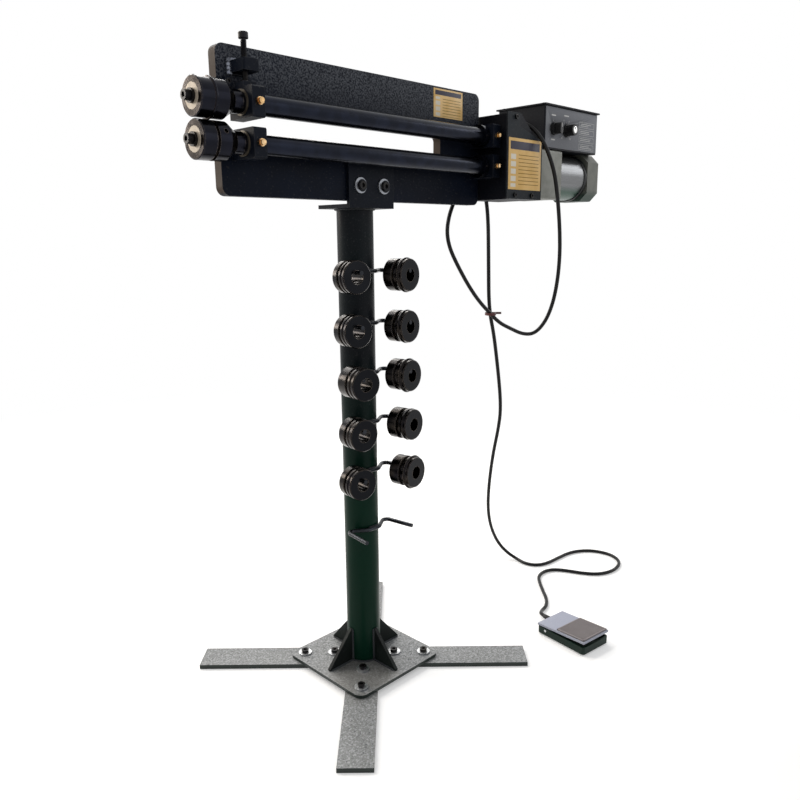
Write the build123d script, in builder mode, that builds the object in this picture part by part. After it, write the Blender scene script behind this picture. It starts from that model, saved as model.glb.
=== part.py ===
from build123d import *
import os
from math import acos, cos, degrees, pi, radians, sin, sqrt, tan

os.makedirs("parts", exist_ok=True)

# Frame: the floor is z = 0 and the post axis is x = y = 0. The head runs along X, with the
# working dies at its -X end and the drive at its +X end. The shafts lie in front, on the -Y side.

# Fits shared by all pieces
run_fit = 0.05
press_gap = 0.03
thread_fit = 0.1
hole_clear = 0.5
touch_gap = 0.3

# Foot: four flat bars on the diagonals under a square plate
leg_reach = 300.0
leg_width = 56.0
leg_thick = 8.0
leg_end_gap = 0.2
base_side = 198.0
base_thick = 6.0
base_corner = 16.0
screw_in = 55.0
screw_out = 110.0

# Screws of the foot and of the head bracket
big_d = 8.0
big_head_d = 13.0
big_head_h = 5.0
big_nut_af = 13.0
big_nut_h = 6.5
washer_d = 24.0
washer_t = 2.5
leg_screw_tip = 1.0

# Post, its gussets and the bracket on its top
post_d = 60.0
post_wall = 3.0
bracket_drop = 11.0
gusset_foot = 85.0
gusset_height = 62.0
gusset_thick = 6.0
gusset_nose = 2.5
bracket_width = 96.0
bracket_thick = 6.0
bracket_back = 34.0
flange_height = 66.0
bracket_screw_span = 50.0
bracket_screw_rise = 34.0

# Head plate with its long open throat
plate_left = -268.0
plate_right = 272.0
plate_below = 65.0
plate_above = 127.0
plate_front = -36.0
plate_thick = 16.0
plate_corner = 12.0
slot_end = 168.0
slot_height = 42.0
slot_corner = 8.0

# Shafts
axis_y = -64.0
lower_z = 890.0
axis_gap = 51.0
shaft_d = 28.0
nose_d = 22.0
collar_d = 38.0
collar_w = 10.0
collar_gap = 0.8

# Bearing blocks, bushes and oilers
block_w = 20.0
block_depth = 53.0
block_h = 39.0
block_edge = 2.0
front_block_x = -240.0
rear_block_x = 258.0
bush_d = 33.0
bush_nose = 2.0
ball_r = 17.0
ball_half = 6.5
ball_throat = 15.2
oiler_d = 10.0
oiler_base = 4.0
oiler_cap_d = 8.0
oil_hole_d = 3.0

# Adjuster above the front block
lug_w = 25.0
lug_shift = 4.5
lug_reach = 35.0
lug_clear = 20.5
lug_thick = 15.0
lug_corner = 3.0
adjust_out = 25.0
adjust_d = 8.0
adjust_head_d = 13.0
adjust_head_h = 8.0
adjust_rise = 47.0
pad_d = 12.0
pad_t = 3.5
pad_stem_d = 4.5
stem_in = 4.0
pocket_side = 0.7
pocket_lip = 2.5
pocket_wall = 3.0
neck_side = 1.2
guide_w = 9.0
guide_depth = 10.0
guide_gap = 0.6
guide_foot = 1.0
guide_h = 38.0
guide_screw_rise = 22.0
guide_screw_pitch = 10.0

# Working dies, their washers and screws
die_face = -322.0
die_length = 66.0
die_d = 49.6
die_hub_len = 21.0
die_cone_len = 14.0
die_neck_len = 12.0
die_neck_d = 30.0
die_groove_w = 4.0
die_groove_deep = 3.0
die_rib_r = 1.6
die_set_hole_d = 6.0
lower_set_turn = 25.0
upper_set_turn = 200.0
die_edge = 1.2
die_washer_d = 32.0
die_washer_t = 4.0
die_screw_d = 8.0
die_screw_head_d = 13.0
die_screw_head_h = 8.0
die_screw_len = 26.0
die_screw_flange_d = 18.0
die_screw_flange_t = 3.5

# Gear pair at the drive end
gear_teeth = 25
gear_module = 2.0
gear_w = 16.0
gear_x = 285.0
gear_backlash = 0.5
tail_d = 22.0
tail_spare = 2.0

# Gear housing, its back plate and motor flange
house_left = 278.0
house_wall = 4.0
house_below = 56.0
house_above = 90.0
house_front = -107.0
house_slope_x = 304.0
house_slope_above = 44.0
flange_x = 358.0
flange_thick = 8.0
back_thick = 8.0
back_left = 200.0
back_below = 45.0
back_above = 75.0
back_screw_in = 12.0
back_screw_pitch = 24.0
back_screw_end = 15.0
cover_thick = 3.0
cover_left = 261.0
cover_step_x = 296.0
cover_step_above = 68.0
cover_slope_above = 48.0
boss_d = 12.0
boss_len = 20.0
boss_in = 7.0
boss_far_in = 30.0
web_lap = 6.0
shaft_hole_gap = 2.0
peg_d = 8.0
peg_len = 30.0
peg_x = 306.0
peg_drop = 6.4

# Gear motor
motor_drop = 8.0
frame_w = 90.0
frame_corner = 6.0
gearhead_len = 68.0
motor_inset = 2.0
motor_len = 94.0
bell_len = 42.0
bell_cut = 16.0
pilot_d = 34.0
pilot_len = 6.0
out_d = 16.0
out_socket = 30.0
tail_len = 60.0
out_inside = 22.0
frame_hole = 37.0

# Control box on the motor
box_left = 372.0
box_right = 554.0
box_front = -110.0
box_back = -4.0
box_height = 76.0
box_wall = 2.0
box_corner = 2.0
lid_over = 4.0
lid_post_d = 10.0
lid_thick = 2.5
panel_gap = 2.0
switch_x = 399.0
knob_x = 442.0
control_rise = 36.0
switch_d = 22.0
switch_base_h = 5.0
switch_bar_w = 8.0
switch_bar_h = 13.0
switch_bar_in = 1.0
switch_spindle_d = 8.0
knob_d = 20.0
knob_h = 15.0
knob_skirt_d = 24.0
knob_skirt_h = 4.0
knob_flutes = 16
flute_r = 1.0
knob_spindle_d = 6.0
spindle_in = 24.0
unit_side = 26.0
unit_deep = 30.0
board_left = 384.0
board_right = 540.0
board_height = 56.0
board_thick = 1.6
board_rise = 8.0

# Small screws
m4_d = 4.0
m4_head_d = 7.0
m4_head_h = 4.0
m5_d = 5.0
m5_head_d = 8.5
m5_head_h = 3.0
m6_d = 6.0
m6_head_d = 10.0
m6_head_h = 6.0
m10_d = 10.0
m10_head_d = 16.0
m10_head_h = 10.0
small_reach = 10.0
plate_reach = 12.0

# Die rack: bent rods welded to the post, one above the other
rack_drops = (99.0, 184.0, 267.0, 352.0, 437.0, 544.0)
rod_d = 7.0
rod_flat = 12.0
rod_gap = 0.2
rod_root_x = 45.0
rod_root_y = -10.0
rod_splay = 8.0
rod_prong = 64.0
rod_bend = 9.0

# Spare dies, one pair on each of the five upper rods
spare_d = 53.0
spare_bore = 22.0
spare_edge = 1.2
spare_neck_w = 5.0
spare_ridge_w = 3.0
left_rear = (20.0, 19.0, 27.0, 26.0, 23.0)
right_rear = (26.0, 27.0, 28.0, 30.0, 34.0)
left_hub = (12.0, 14.0, 22.0, 16.0, 14.0)
right_hub = (18.0, 17.0, 17.0, 19.0, 20.0)
spare_rim = (15.0, 15.0, 17.0, 16.0, 15.0)
spare_neck_d = (46.0, 44.0, 47.0, 42.0, 45.0)
spare_ridge_h = (2.0, 1.5, 2.5, 1.0, 3.0)

# Foot pedal
pedal_x = 332.0
pedal_y = -238.0
pedal_turn = -7.0
pedal_w = 74.0
pedal_l = 112.0
pedal_corner = 5.0
pedal_wall = 3.0
pedal_floor = 3.0
pedal_foot_h = 3.0
pedal_foot_d = 12.0
pedal_foot_in = 10.0
pedal_side_top = 17.0
treadle_thick = 4.0
treadle_rear = 22.0
treadle_front = 29.0
pedal_pin_in = 19.0
pedal_pin_z = 12.0
pedal_pin_d = 5.0
ear_thick = 5.0
ear_r = 5.5
ear_gap = 1.0
pad_split = 46.0
pad_margin = 2.0
pad_thick = 3.0

# Lead from the control box to the pedal
lead_d = 7.5
gland_d = 16.0
gland_len = 12.0
gland_y = -40.0
gland_rise = 50.0
gland_run = 21.0
pedal_run = 24.0
lead_head_z = 890.0
lead_low = 574.0
pedal_gland_d = 10.0
pedal_gland_len = 8.0
pedal_gland_side = 8.0
tie_w = 26.0
tie_deep = 19.0
tie_wall = 1.5
tie_h = 5.0

# Derived places
plate_bottom = lower_z - plate_below
plate_top = lower_z + plate_above
post_top = plate_bottom - bracket_drop
rack_levels = [post_top - drop for drop in rack_drops]
house_bottom = lower_z - house_below
house_top = lower_z + house_above
house_slope_z = lower_z + house_slope_above
cover_step_z = lower_z + cover_step_above
cover_slope_z = lower_z + cover_slope_above
back_bottom = lower_z - back_below
back_top = lower_z + back_above
peg_z = lower_z - peg_drop
motor_z = lower_z - motor_drop
base_top = leg_thick + base_thick
seat_z = base_top + washer_t
plate_back = plate_front + plate_thick
bracket_top = post_top + bracket_thick
flange_face = plate_front - bracket_thick
bracket_screw_z = post_top + bracket_screw_rise
upper_z = lower_z + axis_gap
mid_z = (lower_z + upper_z) / 2
slot_low = mid_z - slot_height / 2
slot_high = mid_z + slot_height / 2
block_front = plate_front - block_depth
front_left = front_block_x - block_w / 2
front_right = front_block_x + block_w / 2
rear_left = rear_block_x - block_w / 2
rear_right = rear_block_x + block_w / 2
upper_top = upper_z + block_h / 2
adjust_y = plate_front - adjust_out
lug_bottom = upper_top + lug_clear
adjust_top = lug_bottom + adjust_rise
die_rear = die_face + die_length
gear_end = gear_x + gear_w
tail_end = gear_x + tail_len
house_right = flange_x + flange_thick
cover_front = house_front - cover_thick
back_face = plate_back + back_thick
gearhead_end = house_right + gearhead_len
motor_end = gearhead_end + motor_len
bell_end = motor_end + bell_len
frame_top = motor_z + frame_w / 2
motor_d = frame_w - 2 * motor_inset
box_top = frame_top + box_height
control_z = frame_top + control_rise
hang = spare_bore / 2 - rod_d / 2 - touch_gap
splay_x = sin(radians(rod_splay))
splay_y = -cos(radians(rod_splay))

LOW = (Align.CENTER, Align.CENTER, Align.MIN)
HIGH = (Align.CENTER, Align.CENTER, Align.MAX)


def round_bar(plane, radius, length, mode=Mode.ADD):
    """A round bar that starts on a plane and runs along its normal."""
    with Locations(plane):
        Cylinder(radius, length, align=LOW, mode=mode)


def bore(plane, radius, length):
    """A round hole that starts on a plane and runs along its normal."""
    round_bar(plane, radius, length, Mode.SUBTRACT)


def block(x0, x1, y0, y1, z0, z1, mode=Mode.ADD):
    """A box between two values on each axis."""
    with Locations(((x0 + x1) / 2, (y0 + y1) / 2, (z0 + z1) / 2)):
        Box(x1 - x0, y1 - y0, z1 - z0, mode=mode)


def facing(x, y, z, direction):
    """A plane at a point, with its normal along a direction."""
    return Plane(origin=(x, y, z), z_dir=direction)


def cap_screw(plane, shank_d, head_d, head_h, length):
    """A socket head screw seated on a plane, its head along the normal."""
    with Locations(plane):
        Cylinder(head_d / 2, head_h, align=LOW)
        Cylinder(shank_d / 2, length, align=HIGH)
    with BuildSketch(plane.offset(head_h)) as socket:
        RegularPolygon(head_d * 0.29, 6)
    extrude(socket.sketch, amount=-head_h * 0.55, mode=Mode.SUBTRACT)


def save(piece, name):
    """Label a finished piece and write it."""
    piece.part.label = name
    export_step(piece.part, f"parts/{name}.step")


def leg_screw_places():
    """The eight screw places of the foot, two along each leg."""
    return [
        (r * cos(radians(a)), r * sin(radians(a)))
        for a in (45, 135, 225, 315)
        for r in (screw_in, screw_out)
    ]


bracket_screws_x = (-bracket_screw_span / 2, bracket_screw_span / 2)
front_screws_x = (front_block_x - 5, front_block_x + 5)
front_screw_z = (lower_z - block_h / 2 + slot_low) / 2
rear_screws_z = [z + s * block_h * 0.32 for z in (lower_z, upper_z) for s in (-1, 1)]
guide_places = [
    (front_left - guide_gap - guide_w / 2, slot_high + guide_foot + guide_screw_rise),
    (front_left - guide_gap - guide_w / 2, slot_high + guide_foot + guide_screw_rise + guide_screw_pitch),
    (front_right + guide_gap + guide_w / 2, slot_high + guide_foot + guide_screw_rise),
    (front_right + guide_gap + guide_w / 2, slot_high + guide_foot + guide_screw_rise + guide_screw_pitch),
]
drive_screws_x = (back_left + back_screw_in, back_left + back_screw_in + back_screw_pitch)
drive_screws_z = (back_bottom + back_screw_end, back_top - back_screw_end)
drive_places = [(x, z) for x in drive_screws_x for z in drive_screws_z]
boss_places = [
    (house_left + boss_in, house_bottom + boss_in),
    (house_left + boss_in, house_top - boss_in),
    (house_right - boss_far_in, house_bottom + boss_in),
]
frame_places = [(axis_y + a * frame_hole, motor_z + b * frame_hole) for a in (-1, 1) for b in (-1, 1)]
box_floor_places = [
    (x, axis_y + s * frame_w * 0.3)
    for x in (gearhead_end - 14, motor_end + 12)
    for s in (-1, 1)
]
lid_places = [
    (x, y)
    for x in (box_left + 8, box_right - 8)
    for y in (box_front + 8, box_back - 8)
]

# The four leg bars, their inner ends meeting round the post axis
leg_start = leg_width / 2 + leg_end_gap
with BuildPart() as legs:
    for angle in (45, 135, 225, 315):
        with BuildSketch(Plane.XY.rotated((0, 0, angle))):
            with Locations(((leg_start + leg_reach) / 2, 0)):
                Rectangle(leg_reach - leg_start, leg_width)
            with Locations((screw_in, 0), (screw_out, 0)):
                Circle(big_d / 2 + thread_fit, mode=Mode.SUBTRACT)
        extrude(amount=leg_thick)
save(legs, "legs")

with BuildPart() as base_plate:
    with BuildSketch(Plane.XY.offset(leg_thick)):
        RectangleRounded(base_side, base_side, base_corner)
        with Locations(*leg_screw_places()):
            Circle(big_d / 2 + hole_clear, mode=Mode.SUBTRACT)
    extrude(amount=base_thick)
save(base_plate, "base_plate")

with BuildPart() as leg_screws:
    for x, y in leg_screw_places():
        cap_screw(facing(x, y, seat_z, (0, 0, 1)), big_d, big_head_d, big_head_h, seat_z - leg_screw_tip)
save(leg_screws, "leg_screws")

# Bright washers under the foot screws and on both sides of the head bracket joint
with BuildPart() as washers:
    with BuildSketch(Plane.XY.offset(base_top)):
        with Locations(*leg_screw_places()):
            Circle(washer_d / 2)
            Circle(big_d / 2 + hole_clear, mode=Mode.SUBTRACT)
    extrude(amount=washer_t)
    for face_y, side in ((flange_face, 1), (plate_back, -1)):
        with BuildSketch(Plane.XZ.offset(-face_y)):
            with Locations(*[(x, bracket_screw_z) for x in bracket_screws_x]):
                Circle(washer_d / 2)
                Circle(big_d / 2 + hole_clear, mode=Mode.SUBTRACT)
        extrude(amount=side * washer_t)
save(washers, "washers")

with BuildPart() as post:
    with BuildSketch(Plane.XY.offset(base_top)):
        Circle(post_d / 2)
        Circle(post_d / 2 - post_wall, mode=Mode.SUBTRACT)
    extrude(amount=post_top - base_top)
save(post, "post")

with BuildPart() as gussets:
    for angle in (0, 90, 180, 270):
        c, s = cos(radians(angle)), sin(radians(angle))
        with BuildSketch(Plane(origin=(0, 0, base_top), x_dir=(c, s, 0), z_dir=(s, -c, 0))):
            with BuildLine():
                Polyline(
                    (post_d / 2, 0),
                    (gusset_foot, 0),
                    (gusset_foot, gusset_nose),
                    (post_d / 2 + gusset_nose, gusset_height),
                    (post_d / 2, gusset_height),
                    close=True,
                )
            make_face()
        extrude(amount=gusset_thick / 2, both=True)
save(gussets, "gussets")

# Bracket on the post: a flat top and a flange that the head plate is bolted to
with BuildPart() as head_bracket:
    half = bracket_width / 2
    block(-half, half, flange_face, bracket_back, post_top, bracket_top)
    block(-half, half, flange_face, plate_front, post_top, post_top + flange_height)
    for x in bracket_screws_x:
        bore(facing(x, plate_front, bracket_screw_z, (0, -1, 0)), big_d / 2 + hole_clear, bracket_thick)
save(head_bracket, "head_bracket")

bracket_grip = washer_t + bracket_thick + plate_thick + washer_t
with BuildPart() as bracket_bolts:
    for x in bracket_screws_x:
        seat = facing(x, flange_face - washer_t, bracket_screw_z, (0, -1, 0))
        cap_screw(seat, big_d, big_head_d, big_head_h, bracket_grip + big_nut_h + 2)
    for x in bracket_screws_x:
        with BuildSketch(Plane.XZ.offset(-(plate_back + washer_t))):
            with Locations((x, bracket_screw_z)):
                RegularPolygon(big_nut_af / 2, 6, major_radius=False)
                Circle(big_d / 2 + thread_fit, mode=Mode.SUBTRACT)
        extrude(amount=-big_nut_h)
save(bracket_bolts, "bracket_bolts")

# Head plate: one thick plate with the throat cut in from the die end
with BuildPart() as head_plate:
    with BuildSketch(Plane.XZ.offset(-plate_back)):
        with Locations(((plate_left + plate_right) / 2, (plate_bottom + plate_top) / 2)):
            RectangleRounded(plate_right - plate_left, plate_top - plate_bottom, plate_corner)
        mouth = plate_left - 3 * slot_corner
        with Locations(((mouth + slot_end) / 2, mid_z)):
            RectangleRounded(slot_end - mouth, slot_height, slot_corner, mode=Mode.SUBTRACT)
        with Locations(*[(x, bracket_screw_z) for x in bracket_screws_x]):
            Circle(big_d / 2 + hole_clear, mode=Mode.SUBTRACT)
    extrude(amount=plate_thick)
    bore_places = [(x, front_screw_z) for x in front_screws_x] + [(rear_block_x, z) for z in rear_screws_z]
    for x, z in bore_places:
        through = facing(x, plate_back, z, (0, -1, 0))
        bore(through, m6_d / 2 + hole_clear, plate_thick)
        bore(through, m6_head_d / 2 + hole_clear, m6_head_h + hole_clear)
    for x, z in guide_places:
        bore(facing(x, plate_front, z, (0, 1, 0)), m4_d / 2 + thread_fit, small_reach + 1)
    for x, z in drive_places:
        bore(facing(x, plate_back, z, (0, -1, 0)), m10_d / 2 + thread_fit, plate_reach + 1)
save(head_plate, "head_plate")

with BuildPart() as adjuster_lug:
    with BuildSketch(Plane.XY.offset(lug_bottom)):
        with Locations((front_block_x + lug_shift, plate_front - lug_reach / 2)):
            Rectangle(lug_w, lug_reach)
        with Locations((front_block_x, adjust_y)):
            Circle(adjust_d / 2 + run_fit, mode=Mode.SUBTRACT)
    extrude(amount=lug_thick)
    fillet(adjuster_lug.edges().filter_by(Axis.Z).group_by(Axis.Y)[0], lug_corner)
save(adjuster_lug, "adjuster_lug")


def bearing_block(x, z, back):
    """The outside of a bearing block, its back edge square to the plate."""
    block(x - block_w / 2, x + block_w / 2, block_front, back, z - block_h / 2, z + block_h / 2)


# Lower bearing blocks, front and rear, screwed to the plate from behind
with BuildPart() as lower_blocks:
    for x in (front_block_x, rear_block_x):
        bearing_block(x, lower_z, plate_front)
    chamfer(lower_blocks.edges().filter_by(Axis.X).group_by(Axis.Y)[0], block_edge)
    for x in (front_block_x, rear_block_x):
        bore(facing(x - block_w / 2, axis_y, lower_z, (1, 0, 0)), bush_d / 2 + press_gap, block_w)
        bore(facing(x, block_front, lower_z, (0, 1, 0)), oil_hole_d / 2, block_depth / 3)
    lower_screws = [(x, front_screw_z) for x in front_screws_x]
    lower_screws += [(rear_block_x, z) for z in rear_screws_z[:2]]
    for x, z in lower_screws:
        bore(facing(x, plate_front, z, (0, -1, 0)), m6_d / 2 + thread_fit, small_reach)
save(lower_blocks, "lower_blocks")

# Upper rear block: a ball seat lets the upper shaft tip when its front end is raised
with BuildPart() as upper_rear_block:
    bearing_block(rear_block_x, upper_z, plate_front)
    chamfer(upper_rear_block.edges().filter_by(Axis.X).group_by(Axis.Y)[0], block_edge)
    bore(facing(rear_left, axis_y, upper_z, (1, 0, 0)), ball_throat, block_w)
    with Locations((rear_block_x, axis_y, upper_z)):
        Sphere(ball_r + run_fit, mode=Mode.SUBTRACT)
    bore(facing(rear_block_x, block_front, upper_z, (0, 1, 0)), oil_hole_d / 2, block_depth / 3)
    for z in rear_screws_z[2:]:
        bore(facing(rear_block_x, plate_front, z, (0, -1, 0)), m6_d / 2 + thread_fit, small_reach)
save(upper_rear_block, "upper_rear_block")

# Upper front block: rides up and down the plate, with a keeper on top for the thrust pad
pad_z = upper_top + touch_gap
lip_z = pad_z + pad_t + touch_gap
keeper_top = lip_z + pocket_lip
pocket_half = pad_d / 2 + pocket_side
neck_half = pad_stem_d / 2 + neck_side
keeper_front = adjust_y - pocket_half - pocket_wall
keeper_back = adjust_y + pocket_half + pocket_wall
with BuildPart() as upper_front_block:
    bearing_block(front_block_x, upper_z, plate_front - touch_gap)
    chamfer(upper_front_block.edges().filter_by(Axis.X).group_by(Axis.Y)[0], block_edge)
    block(front_left, front_right, keeper_front, keeper_back, upper_top, keeper_top)
    block(
        front_block_x - pocket_half,
        front_block_x + pocket_half,
        adjust_y - pocket_half,
        keeper_back,
        upper_top,
        lip_z,
        Mode.SUBTRACT,
    )
    block(
        front_block_x - neck_half,
        front_block_x + neck_half,
        adjust_y - neck_half,
        keeper_back,
        lip_z,
        keeper_top,
        Mode.SUBTRACT,
    )
    bore(facing(front_left, axis_y, upper_z, (1, 0, 0)), bush_d / 2 + press_gap, block_w)
    bore(facing(front_block_x, block_front, upper_z, (0, 1, 0)), oil_hole_d / 2, block_depth / 3)
save(upper_front_block, "upper_front_block")


def bush(x, z):
    """A plain bearing bush with its nose just proud of the block."""
    with BuildSketch(Plane.YZ.offset(x - block_w / 2 - bush_nose)) as ring:
        with Locations((axis_y, z)):
            Circle(bush_d / 2)
            Circle(shaft_d / 2 + run_fit, mode=Mode.SUBTRACT)
    extrude(ring.sketch, amount=block_w + bush_nose)


with BuildPart() as lower_bushes:
    for x in (front_block_x, rear_block_x):
        bush(x, lower_z)
save(lower_bushes, "lower_bushes")

with BuildPart() as upper_front_bush:
    bush(front_block_x, upper_z)
save(upper_front_bush, "upper_front_bush")

ball_end_r = sqrt(ball_r**2 - ball_half**2)
bush_bore_r = shaft_d / 2 + run_fit
with BuildPart() as upper_rear_bush:
    with BuildSketch(Plane.XZ.offset(-axis_y)):
        with BuildLine():
            Polyline(
                (rear_block_x + ball_half, upper_z + ball_end_r),
                (rear_block_x + ball_half, upper_z + bush_bore_r),
                (rear_block_x - ball_half, upper_z + bush_bore_r),
                (rear_block_x - ball_half, upper_z + ball_end_r),
            )
            ThreePointArc(
                (rear_block_x - ball_half, upper_z + ball_end_r),
                (rear_block_x, upper_z + ball_r),
                (rear_block_x + ball_half, upper_z + ball_end_r),
            )
        make_face()
    revolve(axis=Axis((0, axis_y, upper_z), (1, 0, 0)))
save(upper_rear_bush, "upper_rear_bush")


def oiler(x, z):
    """A brass oil cup on the front of a bearing block."""
    seat = facing(x, block_front, z, (0, -1, 0))
    round_bar(seat, oiler_d / 2, oiler_base)
    round_bar(seat.offset(oiler_base), oiler_cap_d / 2 - 1, oiler_base / 2)
    with Locations(seat.offset(oiler_base * 1.5)):
        Cylinder(oiler_cap_d / 2, oiler_base / 2, align=LOW)
    with Locations(seat.offset(oiler_base * 2)):
        Cone(oiler_cap_d / 2, oiler_cap_d / 4, oiler_base / 2, align=LOW)


with BuildPart() as fixed_oilers:
    for x, z in ((front_block_x, lower_z), (rear_block_x, lower_z), (rear_block_x, upper_z)):
        oiler(x, z)
save(fixed_oilers, "fixed_oilers")

with BuildPart() as upper_front_oiler:
    oiler(front_block_x, upper_z)
save(upper_front_oiler, "upper_front_oiler")

# Guides on both sides of the upper front block
with BuildPart() as guide_strips:
    low = slot_high + guide_foot
    for x0 in (front_left - guide_gap - guide_w, front_right + guide_gap):
        block(x0, x0 + guide_w, plate_front - guide_depth, plate_front, low, low + guide_h)
    for x, z in guide_places:
        front = facing(x, plate_front - guide_depth, z, (0, 1, 0))
        bore(front, m4_d / 2 + thread_fit, guide_depth)
        bore(front, m4_head_d / 2 + thread_fit, m4_head_h)
save(guide_strips, "guide_strips")

# Adjusting screw and the thrust pad under it
screw_low = keeper_top + touch_gap
with BuildPart() as adjusting_screw:
    seat = facing(front_block_x, adjust_y, adjust_top - adjust_head_h, (0, 0, 1))
    cap_screw(seat, adjust_d, adjust_head_d, adjust_head_h, adjust_top - adjust_head_h - screw_low)
    fillet(adjusting_screw.edges().group_by(Axis.Z)[-1].filter_by(GeomType.CIRCLE), 1)
    bore(facing(front_block_x, adjust_y, screw_low, (0, 0, 1)), pad_stem_d / 2 + run_fit, stem_in + 1)
save(adjusting_screw, "adjusting_screw")

with BuildPart() as thrust_pad:
    foot = facing(front_block_x, adjust_y, pad_z, (0, 0, 1))
    round_bar(foot, pad_d / 2, pad_t)
    round_bar(foot.offset(pad_t), pad_stem_d / 2, screw_low + stem_in - pad_z - pad_t)
save(thrust_pad, "thrust_pad")


def shaft(z, tail):
    """A shaft from its nose, past a thrust collar, to the gear seat and its tail."""
    nose = facing(die_face + die_washer_t, axis_y, z, (1, 0, 0))
    round_bar(nose, nose_d / 2, die_rear - die_face - die_washer_t)
    round_bar(facing(die_rear, axis_y, z, (1, 0, 0)), shaft_d / 2, gear_x - die_rear)
    collar_x = rear_left - bush_nose - collar_gap - collar_w
    round_bar(facing(collar_x, axis_y, z, (1, 0, 0)), collar_d / 2, collar_w)
    round_bar(facing(gear_x, axis_y, z, (1, 0, 0)), tail_d / 2, tail)
    bore(nose, die_screw_d / 2 + thread_fit, die_screw_len)


with BuildPart() as lower_shaft:
    shaft(lower_z, tail_len)
    bore(facing(tail_end, axis_y, lower_z, (-1, 0, 0)), out_d / 2 + press_gap, out_socket)
save(lower_shaft, "lower_shaft")

with BuildPart() as upper_shaft:
    shaft(upper_z, gear_w + tail_spare)
save(upper_shaft, "upper_shaft")

# Working dies: the upper one carries a rounded rib, the lower one the groove it runs over
hub_rear = die_rear - die_neck_len - die_cone_len
forming_x = hub_rear - die_hub_len + die_groove_w / 2
die_seat = die_face + die_washer_t


def die_blank(z, rib_r, set_turn):
    """A die body: a plain roll, a hub behind it and a cone down to a neck."""
    with BuildSketch(Plane.XZ.offset(-axis_y)) as half:
        with BuildLine():
            Polyline(
                (die_face, z + nose_d / 2 + run_fit),
                (die_face, z + die_d / 2 - die_edge),
                (die_face + die_edge, z + die_d / 2),
                (hub_rear, z + die_d / 2),
                (hub_rear + die_cone_len, z + die_neck_d / 2),
                (die_rear, z + die_neck_d / 2),
                (die_rear, z + nose_d / 2 + run_fit),
                close=True,
            )
        make_face()
        if rib_r:
            with Locations((forming_x, z + die_d / 2)):
                Circle(rib_r)
    revolve(half.sketch, axis=Axis((0, axis_y, z), (1, 0, 0)))
    bore(facing(die_face, axis_y, z, (1, 0, 0)), die_washer_d / 2 + hole_clear, die_washer_t)
    set_x = hub_rear - die_hub_len / 3
    outward = (0, -cos(radians(set_turn)), sin(radians(set_turn)))
    bore(facing(set_x, axis_y, z, outward), die_set_hole_d / 2, die_d / 2)


with BuildPart() as lower_die:
    die_blank(lower_z, 0, lower_set_turn)
    with BuildSketch(Plane.YZ.offset(forming_x - die_groove_w / 2)) as cut:
        with Locations((axis_y, lower_z)):
            Circle(die_d / 2 + 1)
            Circle(die_d / 2 - die_groove_deep, mode=Mode.SUBTRACT)
    extrude(cut.sketch, amount=die_groove_w, mode=Mode.SUBTRACT)
save(lower_die, "lower_die")

with BuildPart() as upper_die:
    die_blank(upper_z, die_rib_r, upper_set_turn)
save(upper_die, "upper_die")


def die_washer(z):
    """The thick bright washer let into the die face."""
    with BuildSketch(Plane.YZ.offset(die_face)) as ring:
        with Locations((axis_y, z)):
            Circle(die_washer_d / 2)
            Circle(die_screw_d / 2 + hole_clear, mode=Mode.SUBTRACT)
    extrude(ring.sketch, amount=die_washer_t)


def die_screw(z):
    """The flanged socket screw that holds a die on the shaft nose."""
    seat = facing(die_face, axis_y, z, (-1, 0, 0))
    round_bar(seat, die_screw_flange_d / 2, die_screw_flange_t)
    neck = seat.offset(die_screw_flange_t)
    cap_screw(neck, die_screw_d, die_screw_head_d, die_screw_head_h, die_screw_flange_t + die_screw_len)


with BuildPart() as lower_die_washer:
    die_washer(lower_z)
save(lower_die_washer, "lower_die_washer")

with BuildPart() as upper_die_washer:
    die_washer(upper_z)
save(upper_die_washer, "upper_die_washer")

with BuildPart() as lower_die_screw:
    die_screw(lower_z)
save(lower_die_screw, "lower_die_screw")

with BuildPart() as upper_die_screw:
    die_screw(upper_z)
save(upper_die_screw, "upper_die_screw")

# Gear pair, cut for a slightly shorter centre distance so that the upper shaft can tip
gear_pitch_r = gear_teeth * gear_module / 2
gear_tip_r = gear_pitch_r + gear_module
gear_root_r = gear_pitch_r - 1.25 * gear_module


def gear(z, phase):
    """A spur gear; the phase is the angle of one tooth's middle."""
    step = 2 * pi / gear_teeth
    half = (pi * gear_module / 2 - gear_backlash) / 2
    shape = (
        (gear_root_r, half + 1.15),
        (gear_pitch_r, half),
        (gear_tip_r, half - 0.75),
    )
    points = []
    for i in range(gear_teeth):
        middle = radians(phase) + i * step
        for r, w in shape:
            points.append((axis_y + r * cos(middle - w / r), z + r * sin(middle - w / r)))
        for r, w in reversed(shape):
            points.append((axis_y + r * cos(middle + w / r), z + r * sin(middle + w / r)))
    with BuildSketch(Plane.YZ.offset(gear_x)) as disc:
        with BuildLine():
            Polyline(*points, close=True)
        make_face()
        with Locations((axis_y, z)):
            Circle(tail_d / 2 + press_gap, mode=Mode.SUBTRACT)
    extrude(disc.sketch, amount=gear_w)


with BuildPart() as lower_gear:
    gear(lower_z, 90 + 180 / gear_teeth)
save(lower_gear, "lower_gear")

with BuildPart() as upper_gear:
    gear(upper_z, 270)
save(upper_gear, "upper_gear")

with BuildPart() as output_shaft:
    out_start = tail_end - out_socket + 1
    out_len = house_right + out_inside - out_start
    round_bar(facing(out_start, axis_y, lower_z, (1, 0, 0)), out_d / 2, out_len)
save(output_shaft, "output_shaft")


def house_outline(inset):
    """The housing's side outline, with the sloped top at the motor end."""
    run = flange_x - house_slope_x
    drop = house_top - house_slope_z
    slope = sqrt(run**2 + drop**2)
    top_x = house_slope_x - inset * (slope - run) / drop
    end_z = house_slope_z - inset * slope / run
    return [
        (house_left + inset, house_bottom + inset),
        (flange_x, house_bottom + inset),
        (flange_x, end_z),
        (top_x, house_top - inset),
        (house_left + inset, house_top - inset),
    ]


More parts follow.
